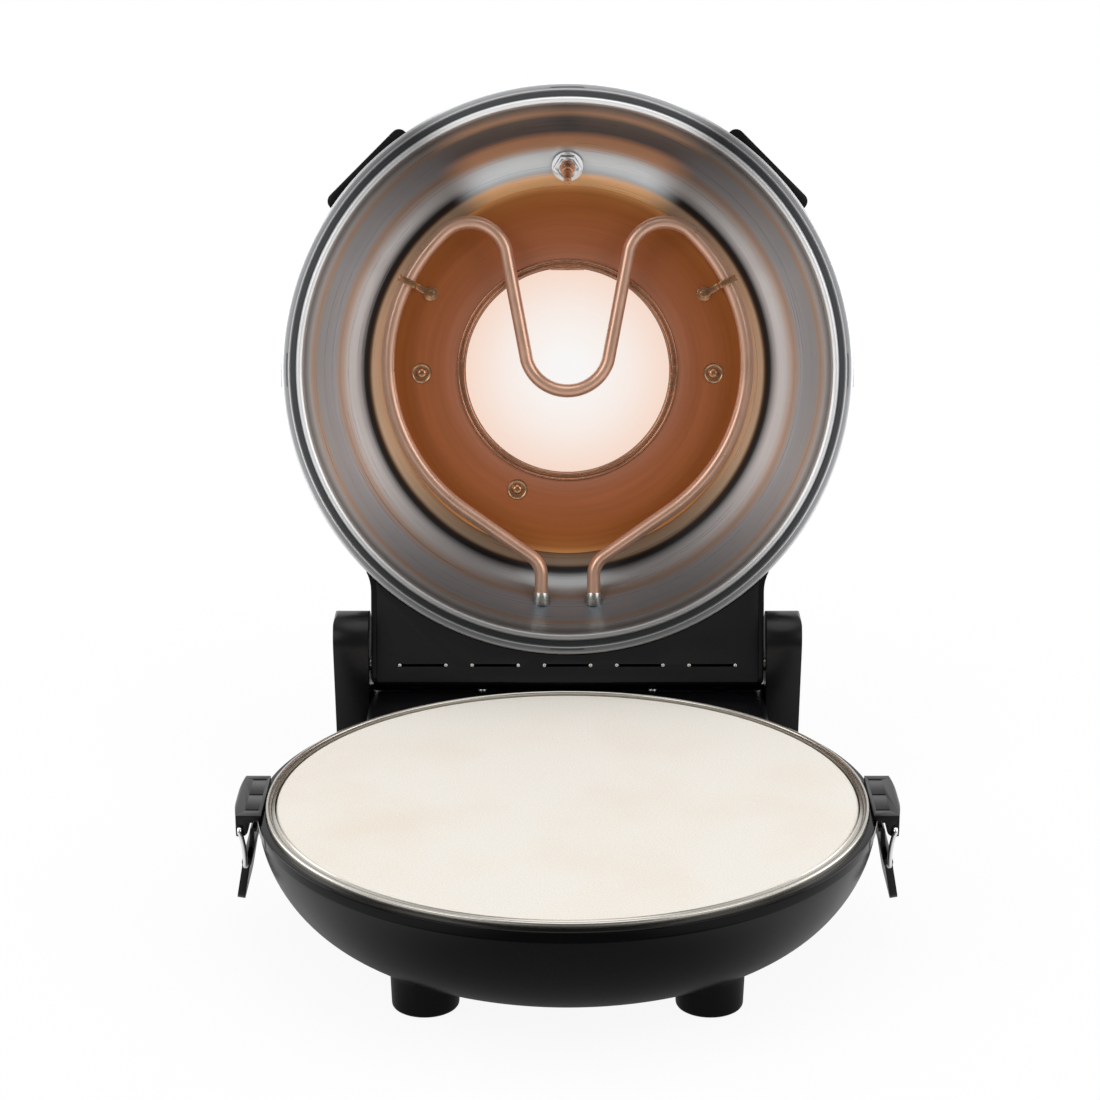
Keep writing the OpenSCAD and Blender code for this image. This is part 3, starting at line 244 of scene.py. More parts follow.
def turned(name, profile_mm, place=IDENTITY, steps=None, sharp=SHARP):
    """A turned piece from its profile of (radius, height); a profile off the axis is a closed loop."""
    steps, on_axis = steps or bpy.context.scene.pizza_base.steps, 1e-6
    points, rows = [], []
    for r, z in profile_mm:
        if r < on_axis:
            rows.append([len(points)] * steps)
            points.append((0, 0, z * MM))
        else:
            rows.append(range(len(points), len(points) + steps))
            turn = [2 * math.pi * i / steps for i in range(steps)]
            points += [(r * MM * math.cos(a), r * MM * math.sin(a), z * MM) for a in turn]
    if profile_mm[0][0] > on_axis:
        rows.append(rows[0])
    faces = []
    for low, high in zip(rows, rows[1:]):
        for i in range(steps):
            j = (i + 1) % steps
            loop = list(dict.fromkeys((low[i], low[j], high[j], high[i])))
            if len(loop) > 2:
                faces.append(loop)
    return mesh_piece(name, points, faces, place, sharp)


def add(tree, kind, inputs=(), out=0, **settings):
    """Adds a node with its settings and with values or links, in order or by name, as its inputs.
    Returns one of its outputs, or the node itself where out is None."""
    node = tree.nodes.new(kind)
    for key, value in settings.items():
        if key == "stops":
            elements = node.color_ramp.elements
            while len(elements) < len(value):
                elements.new(1.0)
            for element, (position, hex_code) in zip(elements, value):
                element.position, element.color = position, srgb(hex_code)
        else:
            setattr(node, key, value)
    for key, value in inputs.items() if isinstance(inputs, dict) else enumerate(inputs):
        if isinstance(value, bpy.types.NodeSocket):
            tree.links.new(value, node.inputs[key])
        else:
            node.inputs[key].default_value = value
    return node if out is None else node.outputs[out]


def geometry_tree(name, **sockets):
    """A new geometry tree with a mesh in, a mesh out and named inputs."""
    tree = bpy.data.node_groups.new(name, "GeometryNodeTree")
    for way in ("INPUT", "OUTPUT"):
        tree.interface.new_socket("Geometry", in_out=way, socket_type="NodeSocketGeometry")
    for label, kind in sockets.items():
        tree.interface.new_socket(
            label.replace("_", " ").capitalize(), in_out="INPUT", socket_type="NodeSocket" + kind
        )
    given = add(tree, "NodeGroupInput", out=None).outputs
    return tree, given, add(tree, "NodeGroupOutput", out=None)


def end_tree(tree, shape, finish, end):
    """Realized, with its finish set: the last nodes of every tree here."""
    real = add(tree, "GeometryNodeRealizeInstances", (shape,))
    done = add(tree, "GeometryNodeSetMaterial", {"Geometry": real, "Material": finish})
    tree.links.new(done, end.inputs[0])
    return tree


def tube_tree():
    """Sweeps a round section along the edges of a path."""
    tree, given, end = geometry_tree("Bent tube", radius="Float", sides="Int", finish="Material")
    path = add(tree, "GeometryNodeMeshToCurve", {"Mesh": given["Geometry"]})
    size = {"Resolution": given["Sides"], "Radius": given["Radius"]}
    section = add(tree, "GeometryNodeCurvePrimitiveCircle", size)
    along = {"Curve": path, "Profile Curve": section, "Fill Caps": True}
    return end_tree(tree, add(tree, "GeometryNodeCurveToMesh", along), given["Finish"], end)


def seated(tree, points, pattern, turn):
    """Copies of a pattern object on points, each with its turn."""
    piece = add(tree, "GeometryNodeObjectInfo", {"Object": pattern}, "Geometry")
    values = {"Points": points, "Instance": piece, "Rotation": turn}
    return add(tree, "GeometryNodeInstanceOnPoints", values)


def copies_tree():
    """Sets one turned piece on each point, its axis along a direction, each at a turn of its own."""
    tree, given, end = geometry_tree(
        "Seated copies", seated_piece="Object", axis="Vector", turn_seed="Int", finish="Material"
    )
    limits = {2: 0.0, 3: 2 * math.pi, "Seed": given["Turn seed"]}
    turn = add(tree, "FunctionNodeRandomValue", limits, 1, data_type="FLOAT")
    spin = add(tree, "FunctionNodeAxisAngleToRotation", {"Axis": (0, 0, 1), "Angle": turn})
    lean = add(tree, "FunctionNodeAlignRotationToVector", {"Vector": given["Axis"]}, axis="Z")
    both = add(tree, "FunctionNodeRotateRotation", (lean, spin), rotation_space="LOCAL")
    placed = seated(tree, given["Geometry"], given["Seated piece"], both)
    return end_tree(tree, placed, given["Finish"], end)


def round_tree():
    """Sets copies of a piece along an arc about +Z, each turned to face outwards."""
    tree, given, end = geometry_tree(
        "Copies round an arc", repeated_piece="Object", count="Int", radius="Float",
        start="Float", step="Float", finish="Material",
    )
    row = add(tree, "GeometryNodeMeshLine", {"Count": given["Count"]})
    numbers = (add(tree, "GeometryNodeInputIndex"), given["Step"], given["Start"])
    turn = add(tree, "ShaderNodeMath", numbers, operation="MULTIPLY_ADD")
    ends = [add(tree, "ShaderNodeMath", (turn,), operation=wave) for wave in ("COSINE", "SINE")]
    way = add(tree, "ShaderNodeCombineXYZ", ends)
    reach = {0: way, "Scale": given["Radius"]}
    place = add(tree, "ShaderNodeVectorMath", reach, operation="SCALE")
    spots = add(tree, "GeometryNodeSetPosition", {"Geometry": row, "Position": place})
    face = add(tree, "FunctionNodeAlignRotationToVector", {"Vector": way}, axis="X")
    placed = seated(tree, spots, given["Repeated piece"], face)
    return end_tree(tree, placed, given["Finish"], end)


def grown(host, tree, finish, place=IDENTITY, **values):
    """Runs a geometry tree on the host and keeps the result as its plain mesh."""
    values["finish"] = finish_of(finish)
    modifier = host.modifiers.new(tree.name, "NODES")
    modifier.node_group = tree
    wanted = {k.replace("_", " ").capitalize(): v for k, v in values.items()}
    for item in tree.interface.items_tree:
        if item.item_type == "SOCKET" and item.in_out == "INPUT" and item.name in wanted:
            modifier[item.identifier] = wanted[item.name]
    settle(host)
    host.data.transform(place)
    soften(host.data, SHARP)


def settle(piece):
    """Applies the live modifiers, so that the mesh is what shows."""
    bpy.context.view_layer.update()
    seen = piece.evaluated_get(bpy.context.evaluated_depsgraph_get())
    mesh = bpy.data.meshes.new_from_object(seen)
    piece.modifiers.clear()
    piece.data = mesh


def cut(piece, cutter):
    """Takes the cutter's shape out of a piece."""
    bite = piece.modifiers.new("Cut", "BOOLEAN")
    bite.object, bite.operation, bite.solver = cutter, "DIFFERENCE", "EXACT"
    settle(piece)
    drop(cutter)


def from_solid(node, edge_mm):
    """A merged copy of a solid with its edges rounded, which stands for the solid."""
    apart, flat = 2e-6, math.radians(0.6)
    mesh = frame["nodes"][node].data.copy()
    mesh.name = node + "_shape"
    work = bmesh.new()
    work.from_mesh(mesh)
    bmesh.ops.remove_doubles(work, verts=work.verts, dist=apart)
    bmesh.ops.dissolve_limit(work, angle_limit=flat, verts=work.verts, edges=work.edges)
    work.to_mesh(mesh)
    work.free()
    mesh.materials.clear()
    old_normals = mesh.attributes.get("custom_normal")
    if old_normals:
        mesh.attributes.remove(old_normals)
    soften(mesh, SHARP)
    piece = linked(node + "_shape", mesh)
    bevel = piece.modifiers.new("Rounded edges", "BEVEL")
    bevel.width, bevel.segments = edge_mm * MM, 2
    bevel.limit_method, bevel.angle_limit = "ANGLE", math.radians(SHARP)
    bevel.miter_outer = "MITER_ARC"
    settle(piece)
    soften(piece.data, SHARP)
    return piece


def keep(piece, body, slot, finish, *nodes):
    """Gives a piece its body and finish, and lets it stand for CAD nodes; the slot is not used."""
    piece.data.materials.clear()
    piece.data.materials.append(finish_of(finish))
    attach(piece, body)
    if nodes:
        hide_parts(*nodes)


def drop(piece):
    """Removes a pattern piece whose copies are made."""
    bpy.data.objects.remove(piece)


# ---------- finishes ----------


def finish_of(name):
    """A finish by its name, made once."""
    made = bpy.data.materials.get(name)
    if not made and name in PLAIN_FINISHES:
        made = plain_finish(name, *PLAIN_FINISHES[name])
    return made or FINISHES[name](name)


def new_finish(name):
    """A material, its empty tree and the place of a shaded point on the object."""
    made = bpy.data.materials.new(name)
    made.use_nodes = True
    tree = made.node_tree
    tree.nodes.clear()
    return made, tree, add(tree, "ShaderNodeTexCoord", out="Object")


def end_finish(made, kind, inputs):
    """Ends a finish with its shader."""
    shader = add(made.node_tree, kind, inputs)
    add(made.node_tree, "ShaderNodeOutputMaterial", {"Surface": shader}, None)
    return made


def chosen(group, name):
    """A colour that the user can change, or a hex colour as it is."""
    return tuple(getattr(group, name)) if hasattr(group, name) else srgb(name)


def moulded_plastic(name, tone, roughness, grit_mm, polished_and_shaded_above=None):
    """Injection-moulded ABS with a fine spark-eroded grain: a soft broad highlight, and a
    slight unevenness in its gloss. The real grit of 0.05 mm is drawn coarser so that it shows."""
    made, tree, place = new_finish(name)
    base = chosen(bpy.context.scene.pizza_colours, tone)
    grit = {"Vector": place, "Scale": 1 / (grit_mm * MM), "Detail": 2.0}
    height = add(tree, "ShaderNodeTexNoise", grit)
    cloud = add(tree, "ShaderNodeTexNoise", {"Vector": place, "Scale": 22.0, "Detail": 3.0})
    gloss = add(tree, "ShaderNodeMapRange", (cloud, 0.3, 0.7, roughness - 0.04, roughness + 0.05))
    grain, shine = 0.12, 0.24
    if polished_and_shaded_above:
        z = add(tree, "ShaderNodeSeparateXYZ", (place,), "Z")
        band = add(tree, "ShaderNodeMath", (z, polished_and_shaded_above), operation="GREATER_THAN")
        gloss, grain, shine = (
            add(tree, "ShaderNodeMix", {0: band, 2: moulded, 3: polished})
            for moulded, polished in ((gloss, 0.1), (grain, 0.0), (shine, 0.12))
        )
        # painted shade: the band's colour is set darker than the body's, for the shade under the rim ring
        base = add(tree, "ShaderNodeMix", {0: band, 6: base, 7: srgb("#020202")}, 2, **MIXED)
    bump = {"Height": height, "Strength": grain, "Distance": 0.06 * MM}
    shader = {
        "Base Color": base,
        "Roughness": gloss,
        "Normal": add(tree, "ShaderNodeBump", bump),
        "IOR": 1.53,
        "Specular IOR Level": shine,
    }
    return end_finish(made, "ShaderNodeBsdfPrincipled", shader)


def black_plastic(name):
    """The body's moulded ABS."""
    return moulded_plastic(name, "plastic", 0.3, 0.7)


def bowl_plastic(name):
    """The same ABS with a polished band round the rim, its colour painted darker there as shade under the
    rim ring.
    """
    band_low = ring_high.z - 9.2 * MM
    return moulded_plastic(name, "plastic", 0.3, 0.7, band_low)


def dark_plastic(name):
    """Glass-filled nylon near the heat, a little coarser."""
    return moulded_plastic(name, "dark_plastic", 0.45, 0.9)


def rubber(name):
    """Moulded nitrile rubber: matt and faintly dusty."""
    return moulded_plastic(name, "#161616", 0.75, 0.8)


def round_the_axis(tree, place, centre, turn):
    """How far from the axis, how far along it and which way round, for what was spun."""
    values = {"Vector": place, "Location": centre, "Rotation": (turn, 0, 0)}
    local = add(tree, "ShaderNodeMapping", values, vector_type="TEXTURE")
    flat = add(tree, "ShaderNodeVectorMath", (local, (1, 1, 0)), operation="MULTIPLY")
    radius = add(tree, "ShaderNodeVectorMath", (flat,), "Value", operation="LENGTH")
    way = add(tree, "ShaderNodeVectorMath", (flat,), operation="NORMALIZE")
    return radius, way, add(tree, "ShaderNodeSeparateXYZ", (local,), "Z")


def across_the_rings(tree, place, centre, axis):
    """The direction along the rings, which draws highlights out across them."""
    out = add(tree, "ShaderNodeVectorMath", (place, centre), operation="SUBTRACT")
    along = add(tree, "ShaderNodeVectorMath", (axis, out), operation="CROSS_PRODUCT")
    to_world = {"vector_type": "VECTOR", "convert_from": "OBJECT", "convert_to": "WORLD"}
    world = add(tree, "ShaderNodeVectorTransform", (along,), **to_world)
    return add(tree, "ShaderNodeVectorMath", (world,), operation="NORMALIZE")


def spinning_marks(tree, radius, way, height, pitch_mm):
    """Fine rings left by the spinning tool, fading in and out round the axis."""
    marks_per_m = 1 / (pitch_mm * MM)
    along = add(tree, "ShaderNodeMath", (radius, marks_per_m), operation="MULTIPLY")
    up = add(tree, "ShaderNodeMath", (height, marks_per_m), operation="MULTIPLY")
    offset = add(tree, "ShaderNodeCombineXYZ", {"Z": along})
    place = add(tree, "ShaderNodeVectorMath", (way, offset), operation="ADD")
    values = {"Vector": place, "W": up, "Scale": 1.0, "Detail": 3.0, "Roughness": 0.6}
    return add(tree, "ShaderNodeTexNoise", values, noise_dimensions="4D")


def ring_tones(tree, radius, bands):
    """Colours by the distance from the axis, from a table of radii in millimetres."""
    low, high = bands[0][0], bands[-1][0]
    reach = add(tree, "ShaderNodeMapRange", (radius, low * MM, high * MM))
    stops = [((r - low) / (high - low), tone) for r, tone in bands]
    return add(tree, "ShaderNodeValToRGB", (reach,), stops=stops)


def painted_front_reflections(tree, radius, way, shade, bands):
    """Painted reflection: the colour is painted darker towards the lid's front and back, where the
    tool's rings fan out darker, and near the front it gives way to painted bands of reflection, partly
    heat tint."""
    smooth = {"interpolation_type": "SMOOTHSTEP"}
    to_back = add(tree, "ShaderNodeSeparateXYZ", (way,), "Y")
    ends = add(tree, "ShaderNodeMath", (to_back,), operation="ABSOLUTE")
    # painted shade: the colour darkens towards the lid's front and back
    painted_fan_shade = add(tree, "ShaderNodeMapRange", (ends, 0.35, 0.97, 1.0, 0.3), **smooth)
    front = add(tree, "ShaderNodeMapRange", (to_back, -0.82, -0.93), **smooth)
    dark = add(tree, "ShaderNodeMix", {0: 1.0, 6: shade, 7: painted_fan_shade}, 2, **MULTIPLIED)
    # painted reflection: bands of their own near the lid's front
    painted_front_bands = ring_tones(tree, radius, bands)
    return add(tree, "ShaderNodeMix", {0: front, 6: dark, 7: painted_front_bands}, 2, **MIXED)


def sheet_metal(name, base, roughness, pitch_mm, anisotropic, axis_of, metallic=1.0, front=None):
    """Stainless sheet, spun or brushed round its axis: fine rings, and highlights drawn out
    across them. The real 0.1 mm marks are drawn at over a millimetre so that they show. The
    base is a chosen colour or a table of ring tones."""
    made, tree, place = new_finish(name)
    centre, turn, axis = axis_of
    radius, way, height = round_the_axis(tree, place, centre, turn)
    marks = spinning_marks(tree, radius, way, height, pitch_mm)
    if isinstance(base, str):
        tone = chosen(bpy.context.scene.pizza_colours, base)
    else:
        tone = ring_tones(tree, radius, base)
    uneven = add(tree, "ShaderNodeMapRange", (marks, 0.3, 0.7, 0.86, 1.0))
    shade = add(tree, "ShaderNodeMix", {0: 1.0, 6: tone, 7: uneven}, 2, **MULTIPLIED)
    # where a front table is given, the colour carries painted reflection: painted shade towards front and
    # back, and painted bands near the front
    if front:
        shade = painted_front_reflections(tree, radius, way, shade, front)
    rough = (marks, 0.3, 0.7, roughness - 0.04, roughness + 0.05)
    bump = {"Height": marks, "Strength": 0.1, "Distance": 0.05 * MM}
    shader = {
        "Base Color": shade,
        "Metallic": metallic,
        "Roughness": add(tree, "ShaderNodeMapRange", rough),
        "Anisotropic": anisotropic,
        "Tangent": across_the_rings(tree, place, centre, axis),
        "Normal": add(tree, "ShaderNodeBump", bump),
    }
    return end_finish(made, "ShaderNodeBsdfPrincipled", shader)


def spun_liner(name):
    """Mirror-like spun stainless whose bands went straw and brown with heat; its ring tones also hold
    painted highlights, painted reflections and painted shade.
    """
    # radius in mm and tone: first the flange at the ceiling and the wall, then the rolled lip. On the wall
    # the straw and tan bands are heat tint, the white bands at 127.5 to 131.5 mm are a painted highlight,
    # the near-black band at 119.6 to 122.6 mm is a painted reflection, and the bright peach flange is heat
    # tint with a painted highlight on it
    wall = [
        (109.0, "#f7bb8a"), (110.0, "#f7bb8a"), (117.8, "#ffdcb8"), (119.6, "#6b4a33"),
        (120.8, "#2c2a29"), (122.6, "#38393a"), (125.4, "#dfe1e3"), (127.5, "#ffffff"),
        (131.5, "#ffffff"), (136.5, "#d9bca6"), (140.0, "#c2ced6"), (148.0, "#b4c0c9"),
        (150.0, "#d2b39d"), (152.0, "#cfd0d0"),
    ]
    # near the lid's front: painted reflection, pale and dark grey bands as the metal there shows them, and
    # tan bands that are partly heat tint
    front_reflection_tones = [
        (109.0, "#ffc080"), (110.0, "#ffc080"), (117.2, "#ffc590"), (119.5, "#c9c4c0"),
        (122.0, "#dde2e6"), (130.5, "#dde2e6"), (134.5, "#d2a585"), (139.0, "#cb9b78"),
        (142.5, "#5c5f62"), (149.0, "#585b5e"), (151.0, "#c59a78"), (153.0, "#8a7a6c"),
    ]
    # the rolled lip: its white and light lines are painted highlights on the bead and the edges, and the
    # dark line inside the bead and the dark grey groove are painted shade
    lip = [
        (153.9, "#6a6a6a"), (154.6, "#ffffff"), (157.6, "#e4e4e4"), (158.2, "#56585a"),
        (161.0, "#5f6163"), (161.8, "#dcdcdc"), (162.6, "#a6a8aa"), (164.4, "#c9cbcd"),
        (165.6, "#ffffff"), (167.0, "#ffffff"),
    ]
    return sheet_metal(name, wall + lip, 0.3, 1.3, 0.55, LID_AXIS, 0.4, front_reflection_tones + lip)


def ring_steel(name):
    """Pressed and brushed stainless of the rim ring and the pan: a pale sheen along fine rings."""
    return sheet_metal(name, "ring_steel", 0.24, 1.0, 0.5, BOWL_AXIS)


def tinted_sheet(name):
    """Stainless sheet that heat has turned bronze: browner towards the window, and with a painted
    highlight in the pale orange at its outer rim.
    """
    # radius in mm and tone; the pale orange at 112 mm is a painted highlight on the ceiling's rim
    tones = [(62, "#c38468"), (77, "#b86c44"), (99.5, "#b4652c"), (107, "#bd7236"), (112, "#f0a968")]
    return sheet_metal(name, tones, 0.42, 2.0, 0.3, LID_AXIS, 0.55)


def plain_finish(name, hex_code, roughness, scale, metallic):
    """An even tone with faint clouds in it and in its gloss."""
    made, tree, place = new_finish(name)
    cloud = add(tree, "ShaderNodeTexNoise", {"Vector": place, "Scale": scale, "Detail": 4.0})
    uneven = add(tree, "ShaderNodeMapRange", (cloud, 0.3, 0.7, 0.88, 1.0))
    gloss = add(tree, "ShaderNodeMapRange", (cloud, 0.3, 0.7, roughness - 0.03, roughness + 0.06))
    tones = {0: 1.0, 6: srgb(hex_code), 7: uneven}
    shade = add(tree, "ShaderNodeMix", tones, 2, **MULTIPLIED)
    shader = {"Base Color": shade, "Metallic": metallic, "Roughness": gloss}
    return end_finish(made, "ShaderNodeBsdfPrincipled", shader)


def baking_stone(name):
    """Pressed cordierite: dead matt cream with fine pale and sandy specks, slightly toasted
    in places. Its 0.3 mm grog is drawn at 1 mm."""
    made, tree, place = new_finish(name)
    grog = add(tree, "ShaderNodeTexNoise", {"Vector": place, "Scale": 1 / MM, "Detail": 3.0})
    cloud = add(tree, "ShaderNodeTexNoise", {"Vector": place, "Scale": 14.0, "Detail": 4.0})
    toast = add(tree, "ShaderNodeMapRange", (cloud, 0.45, 0.75, 0.0, 0.35))
    specks = add(tree, "ShaderNodeMapRange", (grog, 0.35, 0.65, 0.9, 1.0))
    stone = chosen(bpy.context.scene.pizza_colours, "stone")
    tone = add(tree, "ShaderNodeMix", {0: toast, 6: stone, 7: srgb("#e9d5bf")}, 2, **MIXED)
    bump = {"Height": grog, "Strength": 0.3, "Distance": 0.12 * MM}
    shader = {
        "Base Color": add(tree, "ShaderNodeMix", {0: 1.0, 6: tone, 7: specks}, 2, **MULTIPLIED),
        "Roughness": 0.9,
        "Normal": add(tree, "ShaderNodeBump", bump),
    }
    return end_finish(made, "ShaderNodeBsdfPrincipled", shader)


def window_glass(name):
    """Clear toughened glass, with a painted warm glow that deepens towards its rim."""
    made, tree, place = new_finish(name)
    radius = round_the_axis(tree, place, lid_centre, -LID_OPEN)[0]
    # painted glow: the glass's colour goes warmer from its middle to its rim
    shader = {
        "Base Color": ring_tones(tree, radius, [(10, "#fffdfb"), (36, "#fff3ec"), (62, "#fde0cf")]),
        "Roughness": 0.0,
        "IOR": 1.5,
        "Transmission Weight": 1.0,
    }
    return end_finish(made, "ShaderNodeBsdfPrincipled", shader)


# tone, roughness, clouds per metre and metallic share of the plain finishes
PLAIN_FINISHES = {
    # annealed stainless tube: satin, with a warm straw tint from heat
    "Annealed heater tube": ("#deb198", 0.3, 60.0, 0.7),
    # heater tube oxidised in use: brown-black and dull
    "Oxidised heater tube": ("#4a4644", 0.5, 80.0, 1.0),
    # bright drawn and plated wire: sharp white gleams
    "Bright drawn wire": ("#e4e4e6", 0.14, 220.0, 1.0),
    # zinc-plated screws and rivets: pale grey and softly bright
    "Plated screw steel": ("#c8c5c0", 0.26, 300.0, 1.0),
    # stainless rivets and straps on the hot ceiling: bright, and straw-brown with it
    "Tinted rivet steel": ("#c79670", 0.24, 300.0, 1.0),
    # pressed stainless ring round the window: bright, and browned by heat
    "Tinted frame steel": ("#c79273", 0.22, 300.0, 1.0),
    # turned brass of the hinge bushes: warm and satin
    "Turned brass": ("#c9a25c", 0.3, 300.0, 1.0),
    # stove-enamelled sheet steel: an even satin black
    "Enamelled cover sheet": ("#1d1d1e", 0.5, 120.0, 0.0),
    # unglazed steatite: off-white and dry
    "Steatite ceramic": ("#e6e1d8", 0.7, 200.0, 0.0),
    # acrylic lenses of the indicator lamps: deep colour and a glossy skin
    "Red acrylic": ("#c21a14", 0.15, 200.0, 0.0),
    "Green acrylic": ("#1f9a3a", 0.15, 200.0, 0.0),
    # white pad-printed marks: flat and matt
    "White print": ("#d9d9d6", 0.6, 200.0, 0.0),
}
FINISHES = {
    "Moulded black ABS": black_plastic,
    "Moulded dark nylon": dark_plastic,
    "Black ABS with polished rim": bowl_plastic,
    "Spun stainless liner": spun_liner,
    "Pressed ring steel": ring_steel,
    "Heat-tinted sheet": tinted_sheet,
    "Cordierite stone": baking_stone,
    "Toughened glass": window_glass,
    "Moulded rubber": rubber,
}


def dress(finish, *nodes):
    """Gives solids that show as they are, or are hidden inside, their finish."""
    for node in nodes:
        solid = frame["nodes"][node]
        solid.data.materials.clear()
        solid.data.materials.append(finish_of(finish))


def smooth_solid(node, body, slot, finish, edge_mm):
    """A solid shown with rounded edges."""
    keep(from_solid(node, edge_mm), body, slot, finish, node)


# ---------- shapes of this object ----------


def bent_tube(name, path_mm, place, width, sides, finish):
    """A round tube, its width in metres, along a path."""
    tube = path_piece(name, path_mm, place)
    grown(tube, tube_tree(), finish, radius=width / 2, sides=sides)
    return tube


def copies(name, places_mm, place, pattern, axis, seed, finish):
    """A pattern's copies on points, each at a turn of its own about the axis."""
    spots = points_piece(name, places_mm, place)
    grown(spots, copies_tree(), finish, seated_piece=pattern, axis=axis, turn_seed=seed)
    drop(pattern)
    return spots


def round_copies(name, pattern, finish, place=IDENTITY, *, count, radius_mm, start, step):
    """A pattern's copies round +Z, from a start and by a step in degrees."""
    ring = points_piece(name, [(0, 0, 0)])
    grown(
        ring, round_tree(), finish, place, repeated_piece=pattern, count=count,
        radius=radius_mm * MM, start=math.radians(start), step=math.radians(step),
    )
    drop(pattern)
    return ring


def bowl_flank(r0, r1, z0, z1, n=56):
    """The bowl's flank, from its flat bottom out and up to the rim."""
    turn = [math.radians(90 * i / n) for i in range(n + 1)]
    return [
        (r0 + (r1 - r0) * math.sin(a) ** 0.77, z1 - (z1 - z0) * max(math.cos(a), 0) ** 1.25)
        for a in turn
    ]


def upper_heater_path(lid):
    """The middle of the upper heater's tube in the lid's own frame, in millimetres: from one leg
    round the small bend, the large bend, the shoulder and the middle loop, and back."""
    leg, big_r, loop_r = (v / MM for v in (lid.leg_gap / 2, lid.heater_r, lid.loop_r))
    small_r, shoulder_r, shift, loop_shift, drop_mm = 14, 22.5, 4, 13, 17.8
    leave, lean, shoulder_at = 235, 16.5, 133.5
    a = math.radians(leave)
    start = Vector((big_r * math.cos(a), shift + big_r * math.sin(a)))
    way = Vector((-math.sin(a), math.cos(a)))
    side = Vector((way.y, -way.x))
    run = (-leg - small_r - (start.x + side.x * small_r)) / way.x
    bend = start + run * way + side * small_r
    b = math.radians(shoulder_at)
    shoulder = Vector((0, shift)) + (big_r - shoulder_r) * Vector((math.cos(b), math.sin(b)))
    ceiling = lid.ceiling_r / MM
    half = (
        [(-leg, -ceiling - 31), (-leg, -ceiling - 20)]
        + arc(*bend, small_r, leave - 180, 0, 16)[::-1]
        + arc(0, shift, big_r, leave, shoulder_at, 56)
        + arc(*shoulder, shoulder_r, shoulder_at - 4, lean, 28)
        + arc(0, loop_shift, loop_r, 180 + lean, 270, 20)
    )
    z = lid.ceiling_h / MM - drop_mm
    return [(x, -y, z) for x, y in half] + [(-x, -y, z) for x, y in half[-2::-1]]


def lower_heater_path():
    """The middle of the lower heater's tube round the bowl's axis, in millimetres."""
    leg, bend, ring, z = 15.75, 10, 100, 51.5
    a = math.degrees(math.asin((leg + bend) / (ring + bend)))
    y = (ring + bend) * math.cos(math.radians(a))
    half = (
        [(leg, 163.7)]
        + arc(leg + bend, y, bend, 180, 270 - a, 14)
        + arc(0, 0, ring, 90 - a - 2, -90, 72)
    )
    return [(x, y, z) for x, y in half] + [(-x, y, z) for x, y in half[-2::-1]]


def wire_path(side):
    """The middle of a latch wire, in millimetres: two pivot ends, two bowed arms and a bar."""
    pivot_x, pivot_z, reach, lean, bend, end_y = 172.3, 75, 21.4, math.radians(6.5), 1.8, 30.2
    low_x, low_z = pivot_x - reach * math.sin(lean), pivot_z - reach * math.cos(lean)

    def corner(x, z, a0):
        return [(x, y, w) for y, w in arc(-end_y + bend, z, bend, a0, a0 + 90, 8)]

    arm = []
    for i in range(9):
        s = 0.16 + 0.68 * i / 8
        bowed = s * reach * math.sin(lean) + 0.9 * math.sin(math.pi * s)
        arm.append((pivot_x - bowed, -end_y, pivot_z - s * reach * math.cos(lean)))
    half = (
        [(pivot_x, -end_y + 8, pivot_z)]
        + corner(pivot_x, pivot_z - bend, 90)
        + arm
        + corner(low_x, low_z + bend, 180)
    )
    whole = half + [(x, -y, z) for x, y, z in half[::-1]]
    return [(side * x, y, z) for x, y, z in whole]


def block(name, low_mm, high_mm, round_mm, place=IDENTITY):
    """A small bar between two corners with rounded edges."""
    sharp = 60
    (x0, y0, z0), (x1, y1, z1) = low_mm, high_mm
    corners = [(x * MM, y * MM, z * MM) for x in (x0, x1) for y in (y0, y1) for z in (z0, z1)]
    faces = [(0, 1, 3, 2), (4, 6, 7, 5), (0, 4, 5, 1), (2, 3, 7, 6), (0, 2, 6, 4), (1, 5, 7, 3)]
    piece = mesh_piece(name, corners, faces, sharp=sharp)
    bevel = piece.modifiers.new("Rounded edges", "BEVEL")
    bevel.width, bevel.segments = round_mm * MM, 2
    settle(piece)
    piece.data.transform(place)
    soften(piece.data, sharp)
    return piece


def cross_head(r, h):
    """Head of a cross-recess screw, its seat at z = 0 and its top upwards, in millimetres."""
    turns = [math.radians(9 * i) for i in range(10)]
    dome = [(r * math.cos(a), h * (0.35 + 0.65 * math.sin(a))) for a in turns]
    head = turned("screw", [(0, 0), (r, 0), *dome, (0, h)], steps=32)
    for turn in (0, math.pi / 2):
        blade = block("blade", (-r * 0.55, -r * 0.11, h * 0.35), (r * 0.55, r * 0.11, h * 2), 0.04)
        blade.data.transform(Matrix.Rotation(turn, 4, "Z"))
        cut(head, blade)
    soften(head.data, 40)
    return head


def join(name, pieces):
    """Several pieces of one finish as one mesh."""
    work = bmesh.new()
    for piece in pieces:
        work.from_mesh(piece.data)
    mesh = bpy.data.meshes.new(name)
    work.to_mesh(mesh)
    work.free()
    for piece in pieces:
        drop(piece)
    soften(mesh, SHARP)
    return linked(name, mesh)


# ---------- operators ----------


